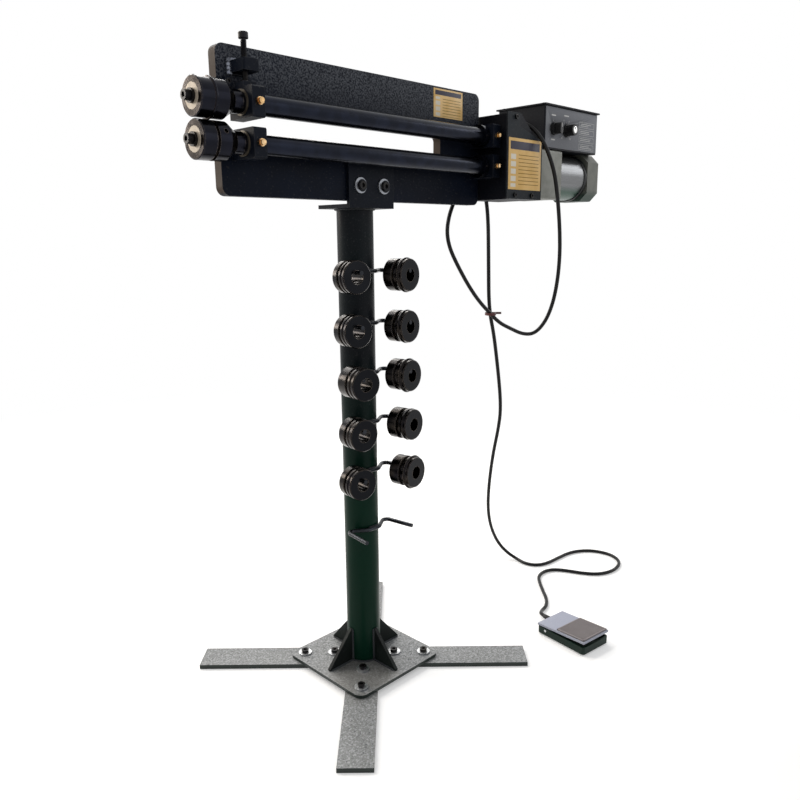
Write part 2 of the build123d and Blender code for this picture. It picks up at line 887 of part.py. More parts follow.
# Gear housing: a welded box with the motor flange, the back plate and a web beside the front cover
with BuildPart() as gear_housing:
    with BuildSketch(Plane.XZ.offset(-plate_back)):
        with BuildLine():
            Polyline(*house_outline(0), close=True)
        make_face()
        with BuildLine():
            Polyline(*house_outline(house_wall), close=True)
        make_face(mode=Mode.SUBTRACT)
    extrude(amount=plate_back - house_front)
    with BuildSketch(Plane.XZ.offset(-back_face)):
        with BuildLine():
            Polyline(*house_outline(0), close=True)
        make_face()
    extrude(amount=back_thick)
    block(back_left, house_right, plate_back, back_face, back_bottom, house_slope_z)
    block(back_left, house_left + house_wall, plate_back, back_face, back_bottom, back_top)
    block(flange_x, house_right, house_front, back_face, house_bottom, house_slope_z)
    with BuildSketch(Plane.XZ.offset(-house_front - house_wall)):
        with BuildLine():
            Polyline(
                (cover_step_x - web_lap, house_top),
                (house_slope_x, house_top),
                (flange_x, house_slope_z),
                (flange_x, cover_slope_z - 2 * web_lap),
                (cover_step_x - web_lap, cover_step_z - web_lap),
                close=True,
            )
        make_face()
    extrude(amount=house_wall)
    for x, z in boss_places:
        round_bar(facing(x, house_front, z, (0, 1, 0)), boss_d / 2, boss_len)
        bore(facing(x, house_front, z, (0, 1, 0)), m5_d / 2 + thread_fit, small_reach + 1)
    for z in (lower_z, upper_z):
        wall = facing(house_left, axis_y, z, (1, 0, 0))
        bore(wall, shaft_d / 2 + shaft_hole_gap, house_wall)
    bore(facing(flange_x, axis_y, lower_z, (1, 0, 0)), pilot_d / 2 + hole_clear, flange_thick)
    for y, z in frame_places:
        bore(facing(flange_x, y, z, (1, 0, 0)), m6_d / 2 + hole_clear, flange_thick)
    for x, z in drive_places:
        bore(facing(x, plate_back, z, (0, 1, 0)), m10_d / 2 + hole_clear, back_thick)
    round_bar(facing(peg_x, back_face, peg_z, (0, 1, 0)), peg_d / 2, peg_len)
save(gear_housing, "gear_housing")

with BuildPart() as gear_cover:
    with BuildSketch(Plane.XZ.offset(-house_front)):
        with BuildLine():
            Polyline(
                (cover_left, house_bottom),
                (house_right, house_bottom),
                (house_right, cover_slope_z),
                (cover_step_x, cover_step_z),
                (cover_step_x, house_top),
                (cover_left, house_top),
                close=True,
            )
        make_face()
        with Locations(*boss_places):
            Circle(m5_d / 2 + hole_clear, mode=Mode.SUBTRACT)
    extrude(amount=cover_thick)
save(gear_cover, "gear_cover")

# Gear motor: square gearhead, round motor and its end bell
with BuildPart() as gearhead:
    with BuildSketch(Plane.YZ.offset(house_right)):
        with Locations((axis_y, motor_z)):
            RectangleRounded(frame_w, frame_w, frame_corner)
    extrude(amount=gearhead_len)
    round_bar(facing(house_right, axis_y, lower_z, (-1, 0, 0)), pilot_d / 2, pilot_len)
    pilot_end = facing(house_right - pilot_len, axis_y, lower_z, (1, 0, 0))
    bore(pilot_end, out_d / 2 + run_fit, pilot_len + out_inside + 1)
    for y, z in frame_places:
        bore(facing(house_right, y, z, (1, 0, 0)), m6_d / 2 + thread_fit, small_reach + 1)
    for x, y in box_floor_places[:2]:
        bore(facing(x, y, frame_top, (0, 0, -1)), m5_d / 2 + thread_fit, small_reach + 1)
save(gearhead, "gearhead")

with BuildPart() as motor_body:
    round_bar(facing(gearhead_end, axis_y, motor_z, (1, 0, 0)), motor_d / 2, motor_len)
save(motor_body, "motor_body")

with BuildPart() as motor_end_bell:
    with BuildSketch(Plane.YZ.offset(motor_end)):
        with Locations((axis_y, motor_z)):
            square = Rectangle(frame_w, frame_w)
        chamfer(square.vertices(), bell_cut)
    extrude(amount=bell_len)
    fillet(motor_end_bell.faces().sort_by(Axis.X)[-1].edges(), 3)
    for x, y in box_floor_places[2:]:
        bore(facing(x, y, frame_top, (0, 0, -1)), m5_d / 2 + thread_fit, small_reach + 1)
save(motor_end_bell, "motor_end_bell")

# Control box, open at the top, with holes for the controls, the lead and its screws
gland_z = frame_top + gland_rise
with BuildPart() as control_box:
    block(box_left, box_right, box_front, box_back, frame_top, box_top)
    fillet(control_box.edges().filter_by(Axis.Z), box_corner)
    block(
        box_left + box_wall,
        box_right - box_wall,
        box_front + box_wall,
        box_back - box_wall,
        frame_top + box_wall,
        box_top,
        Mode.SUBTRACT,
    )
    for x, d in ((switch_x, switch_spindle_d), (knob_x, knob_spindle_d)):
        bore(facing(x, box_front, control_z, (0, 1, 0)), d / 2 + hole_clear, box_wall)
    bore(facing(box_left, gland_y, gland_z, (1, 0, 0)), lead_d / 2 + hole_clear, box_wall)
    for x, y in box_floor_places:
        bore(facing(x, y, frame_top, (0, 0, 1)), m5_d / 2 + hole_clear, box_wall)
    for x, y in lid_places:
        post_top_z = facing(x, y, box_top, (0, 0, -1))
        round_bar(post_top_z, lid_post_d / 2, box_height - box_wall)
        bore(post_top_z, m4_d / 2 + thread_fit, small_reach + 1)
save(control_box, "control_box")

with BuildPart() as control_lid:
    block(
        box_left - lid_over,
        box_right + lid_over,
        box_front - lid_over,
        box_back + lid_over,
        box_top,
        box_top + lid_thick,
    )
    fillet(control_lid.edges().filter_by(Axis.Z), box_corner)
    for x, y in lid_places:
        bore(facing(x, y, box_top, (0, 0, 1)), m4_d / 2 + hole_clear, lid_thick)
save(control_lid, "control_lid")

# Inside the box: the switch unit, the speed unit and the circuit board behind them
unit_y = box_front + box_wall
with BuildPart() as control_board:
    for x, d in ((switch_x, switch_spindle_d), (knob_x, knob_spindle_d)):
        half = unit_side / 2
        block(x - half, x + half, unit_y, unit_y + unit_deep, control_z - half, control_z + half)
        bore(facing(x, unit_y, control_z, (0, 1, 0)), d / 2 + run_fit, spindle_in + 1)
    board_low = frame_top + board_rise
    board_y = unit_y + unit_deep
    block(board_left, board_right, board_y, board_y + board_thick, board_low, board_low + board_height)
save(control_board, "control_board")

dial_y = box_front - panel_gap
spindle_y = unit_y + spindle_in
with BuildPart() as direction_switch:
    face = facing(switch_x, dial_y, control_z, (0, -1, 0))
    round_bar(face, switch_d / 2, switch_base_h)
    round_bar(facing(switch_x, spindle_y, control_z, (0, -1, 0)), switch_spindle_d / 2, spindle_y - dial_y)
    with BuildSketch(Plane.XZ.offset(-dial_y + switch_base_h)):
        with Locations((switch_x, control_z)):
            SlotOverall(switch_d - 2 * switch_bar_in, switch_bar_w, rotation=90)
    extrude(amount=switch_bar_h)
save(direction_switch, "direction_switch")

with BuildPart() as speed_knob:
    face = facing(knob_x, dial_y, control_z, (0, -1, 0))
    round_bar(face, knob_skirt_d / 2, knob_skirt_h)
    with BuildSketch(Plane.XZ.offset(-dial_y + knob_skirt_h)):
        with Locations((knob_x, control_z)):
            Circle(knob_d / 2)
            with PolarLocations(knob_d / 2, knob_flutes):
                Circle(flute_r, mode=Mode.SUBTRACT)
    extrude(amount=knob_h)
    round_bar(facing(knob_x, spindle_y, control_z, (0, -1, 0)), knob_spindle_d / 2, spindle_y - dial_y)
save(speed_knob, "speed_knob")

# Screws of the head: blocks, guides, drive plate, cover, gearhead, control box and lid
with BuildPart() as head_screws:
    for x, z in bore_places:
        seat = facing(x, plate_back - m6_head_h, z, (0, 1, 0))
        cap_screw(seat, m6_d, m6_head_d, m6_head_h, plate_thick - m6_head_h + small_reach - 1)
    for x, z in guide_places:
        seat = facing(x, plate_front - guide_depth + m4_head_h, z, (0, -1, 0))
        cap_screw(seat, m4_d, m4_head_d, m4_head_h, guide_depth - m4_head_h + small_reach)
    for x, z in drive_places:
        seat = facing(x, back_face, z, (0, 1, 0))
        cap_screw(seat, m10_d, m10_head_d, m10_head_h, back_thick + plate_reach)
    for x, z in boss_places:
        seat = facing(x, cover_front, z, (0, -1, 0))
        cap_screw(seat, m5_d, m5_head_d, m5_head_h, cover_thick + small_reach)
    for y, z in frame_places:
        seat = facing(flange_x, y, z, (-1, 0, 0))
        cap_screw(seat, m6_d, m6_head_d, m6_head_h, flange_thick + small_reach)
    for x, y in box_floor_places:
        seat = facing(x, y, frame_top + box_wall, (0, 0, 1))
        cap_screw(seat, m5_d, m5_head_d, m5_head_h, box_wall + small_reach)
    for x, y in lid_places:
        seat = facing(x, y, box_top + lid_thick, (0, 0, 1))
        cap_screw(seat, m4_d, m4_head_d, m4_head_h / 2, lid_thick + small_reach)
save(head_screws, "head_screws")

# Die rack: each rod lies across the front of the post, sweeps back and ends in two prongs
rod_y = -(post_d / 2 + rod_d / 2 + rod_gap)
with BuildPart() as rack_brackets:
    for level in rack_levels:
        tip_x = rod_root_x + rod_prong * splay_x
        tip_y = rod_root_y + rod_prong * splay_y
        with BuildLine() as rod_path:
            FilletPolyline(
                (-tip_x, tip_y, level),
                (-rod_root_x, rod_root_y, level),
                (-rod_flat, rod_y, level),
                (rod_flat, rod_y, level),
                (rod_root_x, rod_root_y, level),
                (tip_x, tip_y, level),
                radius=rod_bend,
            )
        with BuildSketch(Plane(origin=rod_path.line @ 0, z_dir=rod_path.line % 0)):
            Circle(rod_d / 2)
        sweep(path=rod_path.line)
save(rack_brackets, "rack_brackets")

# Spare dies hang by their bores: grooved ones on the left prongs, ridged ones on the right
sides = (("left", -1, left_rear, left_hub), ("right", 1, right_rear, right_hub))
for tag, side, rears, hubs in sides:
    along = (side * splay_x, splay_y, 0)
    across = (splay_y, -side * splay_x, 0)
    for i in range(len(spare_rim)):
        rear = (
            side * rod_root_x + along[0] * rears[i],
            rod_root_y + along[1] * rears[i],
            rack_levels[i] - hang,
        )
        rim = hubs[i] + spare_neck_w
        end = rim + spare_rim[i]
        middle = (rim + end) / 2
        bore, neck, top = spare_bore / 2, spare_neck_d[i] / 2, spare_d / 2
        with BuildPart() as spare_die:
            with BuildSketch(Plane(origin=rear, x_dir=along, z_dir=across)):
                with BuildLine():
                    Polyline(
                        (0, bore),
                        (0, top - spare_edge),
                        (spare_edge, top),
                        (hubs[i] - spare_edge, top),
                        (hubs[i], top - spare_edge),
                        (hubs[i], neck),
                        (rim, neck),
                        (rim, top - spare_edge),
                        (rim + spare_edge, top),
                        (middle - spare_ridge_w, top),
                        (middle, top + side * spare_ridge_h[i]),
                        (middle + spare_ridge_w, top),
                        (end - spare_edge, top),
                        (end, top - spare_edge),
                        (end, bore),
                        close=True,
                    )
                make_face()
            revolve(axis=Axis(rear, along))
        save(spare_die, f"spare_die_{tag}_{i + 1}")

# Foot pedal, in its own turned frame: u across, v towards the rear, w up
pu = (cos(radians(pedal_turn)), sin(radians(pedal_turn)), 0)
pv = (-sin(radians(pedal_turn)), cos(radians(pedal_turn)), 0)
pedal_ground = Plane(origin=(pedal_x, pedal_y, 0), x_dir=pu, z_dir=(0, 0, 1))


def pedal_point(u, v, w):
    """A place in the pedal's own frame."""
    return (pedal_x + u * pu[0] + v * pv[0], pedal_y + u * pu[1] + v * pv[1], w)


def pedal_cross(u):
    """A plane across the pedal, with v and w as its axes."""
    return Plane(origin=pedal_point(u, 0, 0), x_dir=pv, z_dir=pu)


pin_v = pedal_l / 2 - pedal_pin_in
pedal_gland_z = pedal_foot_h + pedal_floor + pedal_gland_d / 2
inner_half = pedal_w / 2 - pedal_wall
with BuildPart() as pedal_base:
    with BuildSketch(pedal_ground.offset(pedal_foot_h)):
        RectangleRounded(pedal_w, pedal_l, pedal_corner)
    extrude(amount=pedal_side_top - pedal_foot_h)
    with BuildSketch(pedal_ground.offset(pedal_foot_h + pedal_floor)):
        RectangleRounded(pedal_w - 2 * pedal_wall, pedal_l - 2 * pedal_wall, pedal_corner - pedal_wall)
    extrude(amount=pedal_side_top - pedal_foot_h - pedal_floor, mode=Mode.SUBTRACT)
    with BuildSketch(pedal_ground):
        with GridLocations(pedal_w - 2 * pedal_foot_in, pedal_l - 2 * pedal_foot_in, 2, 2):
            Circle(pedal_foot_d / 2)
    extrude(amount=pedal_foot_h)
    with BuildSketch(pedal_cross(-pedal_w / 2)):
        with Locations((pin_v, pedal_pin_z)):
            Circle(pedal_pin_d / 2 + press_gap)
    extrude(amount=pedal_w, mode=Mode.SUBTRACT)
save(pedal_base, "pedal_base")

with BuildPart() as pedal_pin:
    with BuildSketch(pedal_cross(-pedal_w / 2)):
        with Locations((pin_v, pedal_pin_z)):
            Circle(pedal_pin_d / 2)
    extrude(amount=pedal_w)
save(pedal_pin, "pedal_pin")


def treadle_z(v):
    """Height of the treadle's upper face, which rises to the front."""
    return treadle_rear + (treadle_front - treadle_rear) * (pedal_l / 2 - v) / pedal_l


half_l = pedal_l / 2
with BuildPart() as pedal_treadle:
    with BuildSketch(pedal_cross(-pedal_w / 2)):
        with BuildLine():
            Polyline(
                (half_l, treadle_rear - treadle_thick),
                (half_l, treadle_rear),
                (-half_l, treadle_front),
                (-half_l, treadle_front - treadle_thick),
                close=True,
            )
        make_face()
    extrude(amount=pedal_w)
    for u in (-inner_half + ear_gap, inner_half - ear_gap - ear_thick):
        with BuildSketch(pedal_cross(u)):
            with Locations((pin_v, pedal_pin_z)):
                Circle(ear_r)
            with Locations((pin_v, (pedal_pin_z + treadle_z(pin_v) - treadle_thick / 2) / 2)):
                Rectangle(2 * ear_r, treadle_z(pin_v) - treadle_thick / 2 - pedal_pin_z)
            with Locations((pin_v, pedal_pin_z)):
                Circle(pedal_pin_d / 2 + run_fit, mode=Mode.SUBTRACT)
        extrude(amount=ear_thick)
save(pedal_treadle, "pedal_treadle")

pad_rear = half_l - pad_split
pad_front = -half_l + pad_margin
with BuildPart() as pedal_pad:
    with BuildSketch(pedal_cross(-pedal_w / 2 + pad_margin)):
        with BuildLine():
            Polyline(
                (pad_rear, treadle_z(pad_rear)),
                (pad_rear, treadle_z(pad_rear) + pad_thick),
                (pad_front, treadle_z(pad_front) + pad_thick),
                (pad_front, treadle_z(pad_front)),
                close=True,
            )
        make_face()
    extrude(amount=pedal_w - 2 * pad_margin)
save(pedal_pad, "pedal_pad")

# The lead: out of the control box, down in a loop, up behind the plate, over the peg, down
# through the tie and along the floor to the pedal. Straight runs are joined by tangent arcs.
gland_end = (box_left - gland_len, gland_y, gland_z)
pedal_end = pedal_point(pedal_gland_side, half_l + pedal_gland_len, pedal_gland_z)
floor_z = lead_d / 2 + 0.2


def lead_point(x, y, z):
    """A place on the lead's route; the part above the loop keeps to the height of the head."""
    share = max(0, min(1, (z - floor_z) / (lead_low - floor_z)))
    return (x, y, z + share * (lower_z - lead_head_z))


lead_route = [
    (328, -55, 976), (331, -82, 973), (343, -106, 960), (354, -121, 936), (366, -128, 909),
    (382, -129, 879), (393, -128, 847), (405, -125, 814), (419, -120, 776), (433, -113, 731),
    (444, -103, 684), (449, -91, 637), (445, -77, 598), (430, -61, 573), (407, -47, 574),
    (384, -36, 586), (359, -26, 599), (337, -18, 620), (314, -8, 645), (289, -2, 676),
    (263, 3, 714), (242, 6, 748), (236, 8, 777), (243, 9, 806), (257, 9, 832),
    (270, 9, 860), (284, 9, 884), (306, 9, 894), (328, 8, 884), (342, 6, 860),
    (349, 3, 830), (349, -1, 790), (346, -5, 740), (344, -8, 690), (343, -10, 650),
    (347, -11, 615), (362, -9, 577), (376, -6, 531), (391, -2, 480), (406, 4, 434),
    (418, 12, 394), (427, 25, 352), (436, 42, 303), (447, 58, 251), (460, 73, 199),
    (474, 85, 152), (489, 92, 110), (508, 94, 70), (528, 90, 36), (543, 74, 13),
    (547, 50, 4.5), (540, 24, floor_z), (548, -2, floor_z), (574, -16, floor_z),
    (620, -18, floor_z), (668, -21, floor_z), (704, -40, floor_z), (723, -70, floor_z),
    (726, -106, floor_z), (704, -138, floor_z), (664, -150, floor_z), (629, -145, floor_z),
    (604, -129, floor_z), (587, -102, floor_z), (574, -69, floor_z), (558, -44, floor_z),
    (532, -35, floor_z), (502, -42, floor_z), (476, -65, floor_z), (450, -91, floor_z),
    (424, -118, floor_z), (398, -134, floor_z), (374, -138, 4.5),
]
lead_points = [gland_end, (gland_end[0] - gland_run, gland_y, gland_z)]
lead_points += [lead_point(*place) for place in lead_route]
lead_points += [
    pedal_point(pedal_gland_side, half_l + pedal_gland_len + pedal_run, pedal_gland_z),
    pedal_end,
]


def bend_radii(points):
    """The largest arc that the two runs beside each corner allow."""
    radii = []
    for a, b, c in zip(points, points[1:], points[2:]):
        first = Vector(*b) - Vector(*a)
        second = Vector(*c) - Vector(*b)
        turn = radians(first.get_angle(second))
        radii.append(0.45 * min(first.length, second.length) / tan(turn / 2))
    return radii


lead_radii = bend_radii(lead_points)
with BuildPart() as pedal_lead:
    with BuildLine() as lead_path:
        FilletPolyline(*lead_points, radius=lead_radii)
    with BuildSketch(Plane(origin=lead_path.line @ 0, z_dir=lead_path.line % 0)):
        Circle(lead_d / 2)
    sweep(path=lead_path.line)
save(pedal_lead, "pedal_lead")
lead_length = lead_path.wire().length
print("lead length", round(lead_length, 1))

# Glands at both ends of the lead, and the tie where its two runs pass
tie_turn = 46.5
tie_place = lead_point(343.4, -14.7, 618.0)
with BuildPart() as lead_fittings:
    round_bar(facing(*gland_end, (1, 0, 0)), gland_d / 2, gland_len)
    round_bar(Plane(origin=pedal_end, z_dir=(-pv[0], -pv[1], 0)), pedal_gland_d / 2, pedal_gland_len)
    tie_along = (cos(radians(tie_turn)), sin(radians(tie_turn)), 0)
    with BuildSketch(Plane(origin=tie_place, x_dir=tie_along, z_dir=(0, 0, 1))):
        SlotOverall(tie_w + 2 * tie_wall, tie_deep + 2 * tie_wall)
        SlotOverall(tie_w, tie_deep, mode=Mode.SUBTRACT)
    extrude(amount=tie_h / 2, both=True)
save(lead_fittings, "lead_fittings")
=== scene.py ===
"""Looks of a floor-standing electric bead roller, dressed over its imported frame.

Sizes are written in millimetres and turned to metres where a piece is made. The frame is the
CAD model's own: the floor is z = 0, the post's axis is x = y = 0, the shafts run along X with
the working dies at the -X end, and the shafts and controls face -Y.
"""

import logging
import math
from collections.abc import Callable
from dataclasses import dataclass, field
from enum import Enum
from functools import cached_property
from typing import Any

import bpy
from mathutils import Matrix, Vector


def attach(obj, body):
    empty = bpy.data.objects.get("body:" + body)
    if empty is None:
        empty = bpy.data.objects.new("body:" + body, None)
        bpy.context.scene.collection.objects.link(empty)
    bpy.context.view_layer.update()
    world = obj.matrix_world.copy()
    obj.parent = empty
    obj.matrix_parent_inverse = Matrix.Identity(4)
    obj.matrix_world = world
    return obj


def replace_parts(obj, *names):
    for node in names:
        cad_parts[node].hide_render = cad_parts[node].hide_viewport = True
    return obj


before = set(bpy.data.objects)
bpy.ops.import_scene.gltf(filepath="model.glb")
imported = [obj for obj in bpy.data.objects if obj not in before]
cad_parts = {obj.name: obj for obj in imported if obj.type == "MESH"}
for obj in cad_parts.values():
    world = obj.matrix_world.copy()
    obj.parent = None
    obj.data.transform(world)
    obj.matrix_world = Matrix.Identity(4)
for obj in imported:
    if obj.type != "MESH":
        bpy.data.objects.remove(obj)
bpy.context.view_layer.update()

LOG = logging.getLogger("bead_roller")
MM = 0.001

Object = bpy.types.Object
Socket = bpy.types.NodeSocket
Point = tuple[float, float, float]
Box = tuple[float, float, float, float]


class Slot(Enum):
    """Material slots of the record."""

    PAINT = "black_paint"
    FOOT = "grey_paint"
    OXIDE = "black_oxide"
    ZINC = "zinc"
    BOX = "box_paint"
    PLASTIC = "black_plastic"
    RUBBER = "pedal_rubber"
    LEAD = "lead_rubber"


class Way(Enum):
    """Directions that pieces stand along or turn about."""

    RIGHT = (1.0, 0.0, 0.0)
    FRONT = (0.0, -1.0, 0.0)
    BACK = (0.0, 1.0, 0.0)
    UP = (0.0, 0.0, 1.0)


# Finishes


def linear(colour: str) -> tuple[float, float, float, float]:
    """Turn an sRGB hex colour into linear values.

    Args:
        colour: Six hex digits after a hash.

    Returns:
        Red, green, blue and a full alpha, for a colour socket.
    """
    parts = [int(colour[i:i + 2], 16) / 255 for i in (1, 3, 5)]
    red, green, blue = (p / 12.92 if p <= 0.04045 else ((p + 0.055) / 1.055) ** 2.4 for p in parts)
    return red, green, blue, 1.0


class NodeNet:
    """A tree of shader nodes that grows by short calls.

    Sizes and heights are in millimetres. A colour is an sRGB hex word or a socket that carries one.
    """

    def __init__(self, tree: bpy.types.NodeTree, shader: str = "Principled BSDF") -> None:
        """Start from a tree and the shader that it already holds."""
        self.tree = tree
        self.shader = tree.nodes[shader]

    @cached_property
    def place(self) -> Socket:
        """The place on the object."""
        return self.add("ShaderNodeTexCoord").outputs["Object"]

    def add(self, kind: str, inputs: dict | None = None, **settings: Any) -> bpy.types.Node:
        """Add a node with its settings, values and links.

        Args:
            kind: The node's type name.
            inputs: Values, or sockets to link from, by the name or number of the input.
            **settings: Attributes of the node.

        Returns:
            The new node.
        """
        node = self.tree.nodes.new(kind)
        for name, value in settings.items():
            setattr(node, name, value)
        for name, value in (inputs or {}).items():
            if isinstance(value, Socket):
                self.tree.links.new(value, node.inputs[name])
            else:
                node.inputs[name].default_value = value
        return node

    def feed(self, name: str, value: Any) -> None:
        """Give an input of the shader a value, or a socket to link from."""
        if isinstance(value, Socket):
            self.tree.links.new(value, self.shader.inputs[name])
        else:
            self.shader.inputs[name].default_value = value

    def math(self, operation: str, *values: Any) -> Socket:
        """One step of arithmetic on numbers."""
        return self.add("ShaderNodeMath", dict(enumerate(values)), operation=operation).outputs[0]

    def times(self, first: Any, second: Any) -> Socket:
        """The product of two numbers."""
        return self.math("MULTIPLY", first, second)

    def vector(self, operation: str, *values: Any) -> Socket:
        """One step of arithmetic on vectors."""
        return self.add("ShaderNodeVectorMath", dict(enumerate(values)), operation=operation).outputs[0]

    def measure(self, operation: str, *values: Any) -> Socket:
        """A number worked out from vectors."""
        return self.add("ShaderNodeVectorMath", dict(enumerate(values)), operation=operation).outputs["Value"]

    def part(self, axis: str, vector: Socket | None = None) -> Socket:
        """One coordinate of a vector, or of the place on the object."""
        return self.add("ShaderNodeSeparateXYZ", {0: self.place if vector is None else vector}).outputs[axis]

    def facing(self, axis: str) -> Socket:
        """How far the surface looks along an axis, from -1 to 1."""
        return self.part(axis, self.add("ShaderNodeNewGeometry").outputs["Normal"])

    def noise(self, size: float, detail: float = 3.0) -> Socket:
        """A noise whose lumps are about a size."""
        scale = 0.5 / (size * MM)
        inputs = {"Vector": self.place, "Scale": scale, "Detail": detail}
        return self.add("ShaderNodeTexNoise", inputs).outputs["Fac"]

    def ramp(self, value: Socket, low: float, high: float, shape: str = "SMOOTHSTEP") -> Socket:
        """A value spread so that low gives 0 and high gives 1."""
        span = {"Value": value, "From Min": low, "From Max": high}
        return self.add("ShaderNodeMapRange", span, interpolation_type=shape).outputs["Result"]

    def mix(self, share: Socket, first: str | Socket, second: str | Socket) -> Socket:
        """Two colours mixed by a share."""
        first, second = (linear(colour) if isinstance(colour, str) else colour for colour in (first, second))
        return self.add("ShaderNodeMix", {0: share, 6: first, 7: second}, data_type="RGBA").outputs[2]

    def edges(self, radius: float) -> Socket:
        """A share that rises to 1 on sharp edges, within a radius."""
        soft = self.add("ShaderNodeBevel", {"Radius": radius * MM}, samples=6).outputs["Normal"]
        hard = self.add("ShaderNodeNewGeometry").outputs["Normal"]
        return self.ramp(self.measure("DOT_PRODUCT", soft, hard), 0.985, 0.86)

    def paint(self, colour: Socket) -> None:
        """Make a colour the shader's base colour."""
        self.feed("Base Color", colour)

    def painted(self) -> Socket:
        """The colour that the shader shows so far."""
        return self.shader.inputs["Base Color"].links[0].from_socket

    def paint_low_reflection(self, painted_reflection: str, low: float, high: float, cloud: float) -> None:
        """Paint the colour of a reflection low down, over the colour so far: a painted reflection.

        Args:
            painted_reflection: The colour of the painted reflection.
            low: The height up to which only the painted reflection shows.
            high: The height from which none of it shows.
            cloud: How much an uneven noise adds to the height before that.
        """
        rise = self.part("Z")
        if cloud:
            rise = self.math("MULTIPLY_ADD", self.noise(60.0), cloud * MM, rise)
        clear_of_reflection = self.ramp(rise, low * MM, high * MM)
        self.paint(self.mix(clear_of_reflection, painted_reflection, self.painted()))

    def dull(self, value: Socket, low: float, high: float) -> None:
        """Spread a value into the shader's roughness."""
        span = {"Value": value, "To Min": low, "To Max": high}
        self.feed("Roughness", self.add("ShaderNodeMapRange", span).outputs["Result"])

    def bump(self, height: Socket, strength: float, deep: float) -> None:
        """Give the shader a bump of a strength and a depth."""
        inputs = {"Height": height, "Strength": strength, "Distance": deep * MM}
        self.feed("Normal", self.add("ShaderNodeBump", inputs).outputs["Normal"])


@dataclass(frozen=True)
class Finish:
    """A surface: its name, its colour and the shader that shows it.

    Where it has a colour for a painted reflection, that colour is painted low down.
    """

    name: str
    colour: str
    roughness: float = 0.5
    metallic: float = 0.0
    specular: float = 0.5
    painted_reflection: str = ""
    low: float = 0.0
    high: float = 0.0
    cloud: float = 0.0

    def material(self) -> bpy.types.Material:
        """The material of this finish, made on its first use."""
        found = bpy.data.materials.get(self.name)
        if found:
            return found
        made = bpy.data.materials.new(self.name)
        made.use_nodes = True
        net = NodeNet(made.node_tree)
        net.feed("Base Color", linear(self.colour))
        net.feed("Roughness", self.roughness)
        net.feed("Metallic", self.metallic)
        net.feed("Specular IOR Level", self.specular)
        self.dress(net)
        # A reflection painted low down, where the finish has a colour for one.
        if self.painted_reflection:
            net.paint_low_reflection(self.painted_reflection, self.low, self.high, self.cloud)
        return made

    def dress(self, net: NodeNet) -> None:
        """Add this finish's own nodes."""


@dataclass(frozen=True)
class PowderCoat(Finish):
    """Baked powder coat on steel: an orange-peel skin, faint blotches, and edges rubbed paler."""

    blotch: str = "#1b1e24"
    worn: str = "#3d3d3f"
    grit: float = 1.6
    peel: float = 0.3
    wear: float = 1.2
    flecks: tuple[float, float] = (0.58, 0.72)

    def dress(self, net: NodeNet) -> None:
        """Colour by blotch and grit, pale rubbed edges, and the peel as bump."""
        wide = net.ramp(net.noise(45.0), 0.38, 0.66)
        fine = net.noise(self.grit, 4.0)
        specks = net.times(net.ramp(fine, *self.flecks), 0.45)
        grain = net.mix(specks, net.mix(wide, self.colour, self.blotch), self.worn)
        patchy = net.ramp(net.noise(7.0), 0.35, 0.6)
        net.paint(net.mix(net.times(net.edges(self.wear), patchy), grain, self.worn))
        net.dull(wide, self.roughness - 0.05, self.roughness + 0.08)
        net.bump(fine, self.peel, 0.25)


@dataclass(frozen=True)
class HammeredCoat(PowderCoat):
    """Hammer-finish enamel with metal flake: dimpled tops painted pale as lit, a painted shadow round the
    post, sides painted dark as shade.
    """

    # Painted shade: the colour of the faces that don't look up.
    side: str = "#101c18"
    pit: str = "#4b4e51"
    # The colour of the painted shadow round the post.
    oil_and_painted_shade: str = "#575550"
    shadow_centre: Point = (-48.0, -48.0, 14.0)
    shadow_inner: float = 60.0
    shadow_outer: float = 125.0
    shadow_waves: float = 60.0

    def dress(self, net: NodeNet) -> None:
        """The coat with dark pits and a painted shadow round the post on faces that look up, and a dark
        colour painted as shade on the rest.
        """
        super().dress(net)
        pits = net.ramp(net.noise(self.grit * 1.3, 4.0), 0.47, 0.3)
        coat = net.mix(pits, net.painted(), self.pit)
        # Painted shadow: a darker patch on the tops round the post, where its shadow falls.
        away = net.measure("DISTANCE", net.place, Vector(self.shadow_centre) * MM)
        wavy = net.math("MULTIPLY_ADD", net.noise(16.0), self.shadow_waves * MM, away)
        painted_shadow = net.times(net.ramp(wavy, self.shadow_outer * MM, self.shadow_inner * MM), 0.6)
        coat = net.mix(painted_shadow, coat, self.oil_and_painted_shade)
        # Painted light and shade: faces that look up show the pale coat, the others the dark colour.
        net.paint(net.mix(net.ramp(net.facing("Z"), 0.35, 0.8), self.side, coat))


@dataclass(frozen=True)
class FlameCutPlate(PowderCoat):
    """Thick coated plate: paler grains painted towards the top as light from above, and brown on its ends
    that look to -X, scale of the flame cut with a painted warm reflection.
    """

    # Brown for the ends that look to -X: scale with a painted warm reflection.
    scale: str = "#52473f"
    # Paler grains painted towards the top, as light from above.
    painted_light: str = "#5a5d63"
    painted_light_low: float = 920.0
    painted_light_high: float = 1010.0

    def dress(self, net: NodeNet) -> None:
        """The coat, paler grains towards the top as painted light, and brown on the faces that look to -X as
        scale with a painted reflection.
        """
        super().dress(net)
        # Painted light: paler grains towards the top.
        rise = net.ramp(net.part("Z"), self.painted_light_low * MM, self.painted_light_high * MM)
        lit_grains = net.ramp(net.noise(1.3, 4.0), 0.36, 0.66)
        coat = net.mix(net.times(rise, lit_grains), net.painted(), self.painted_light)
        # Brown on the faces that look to -X: scale and a painted warm reflection.
        net.paint(net.mix(net.ramp(net.facing("X"), -0.55, -0.9), coat, self.scale))


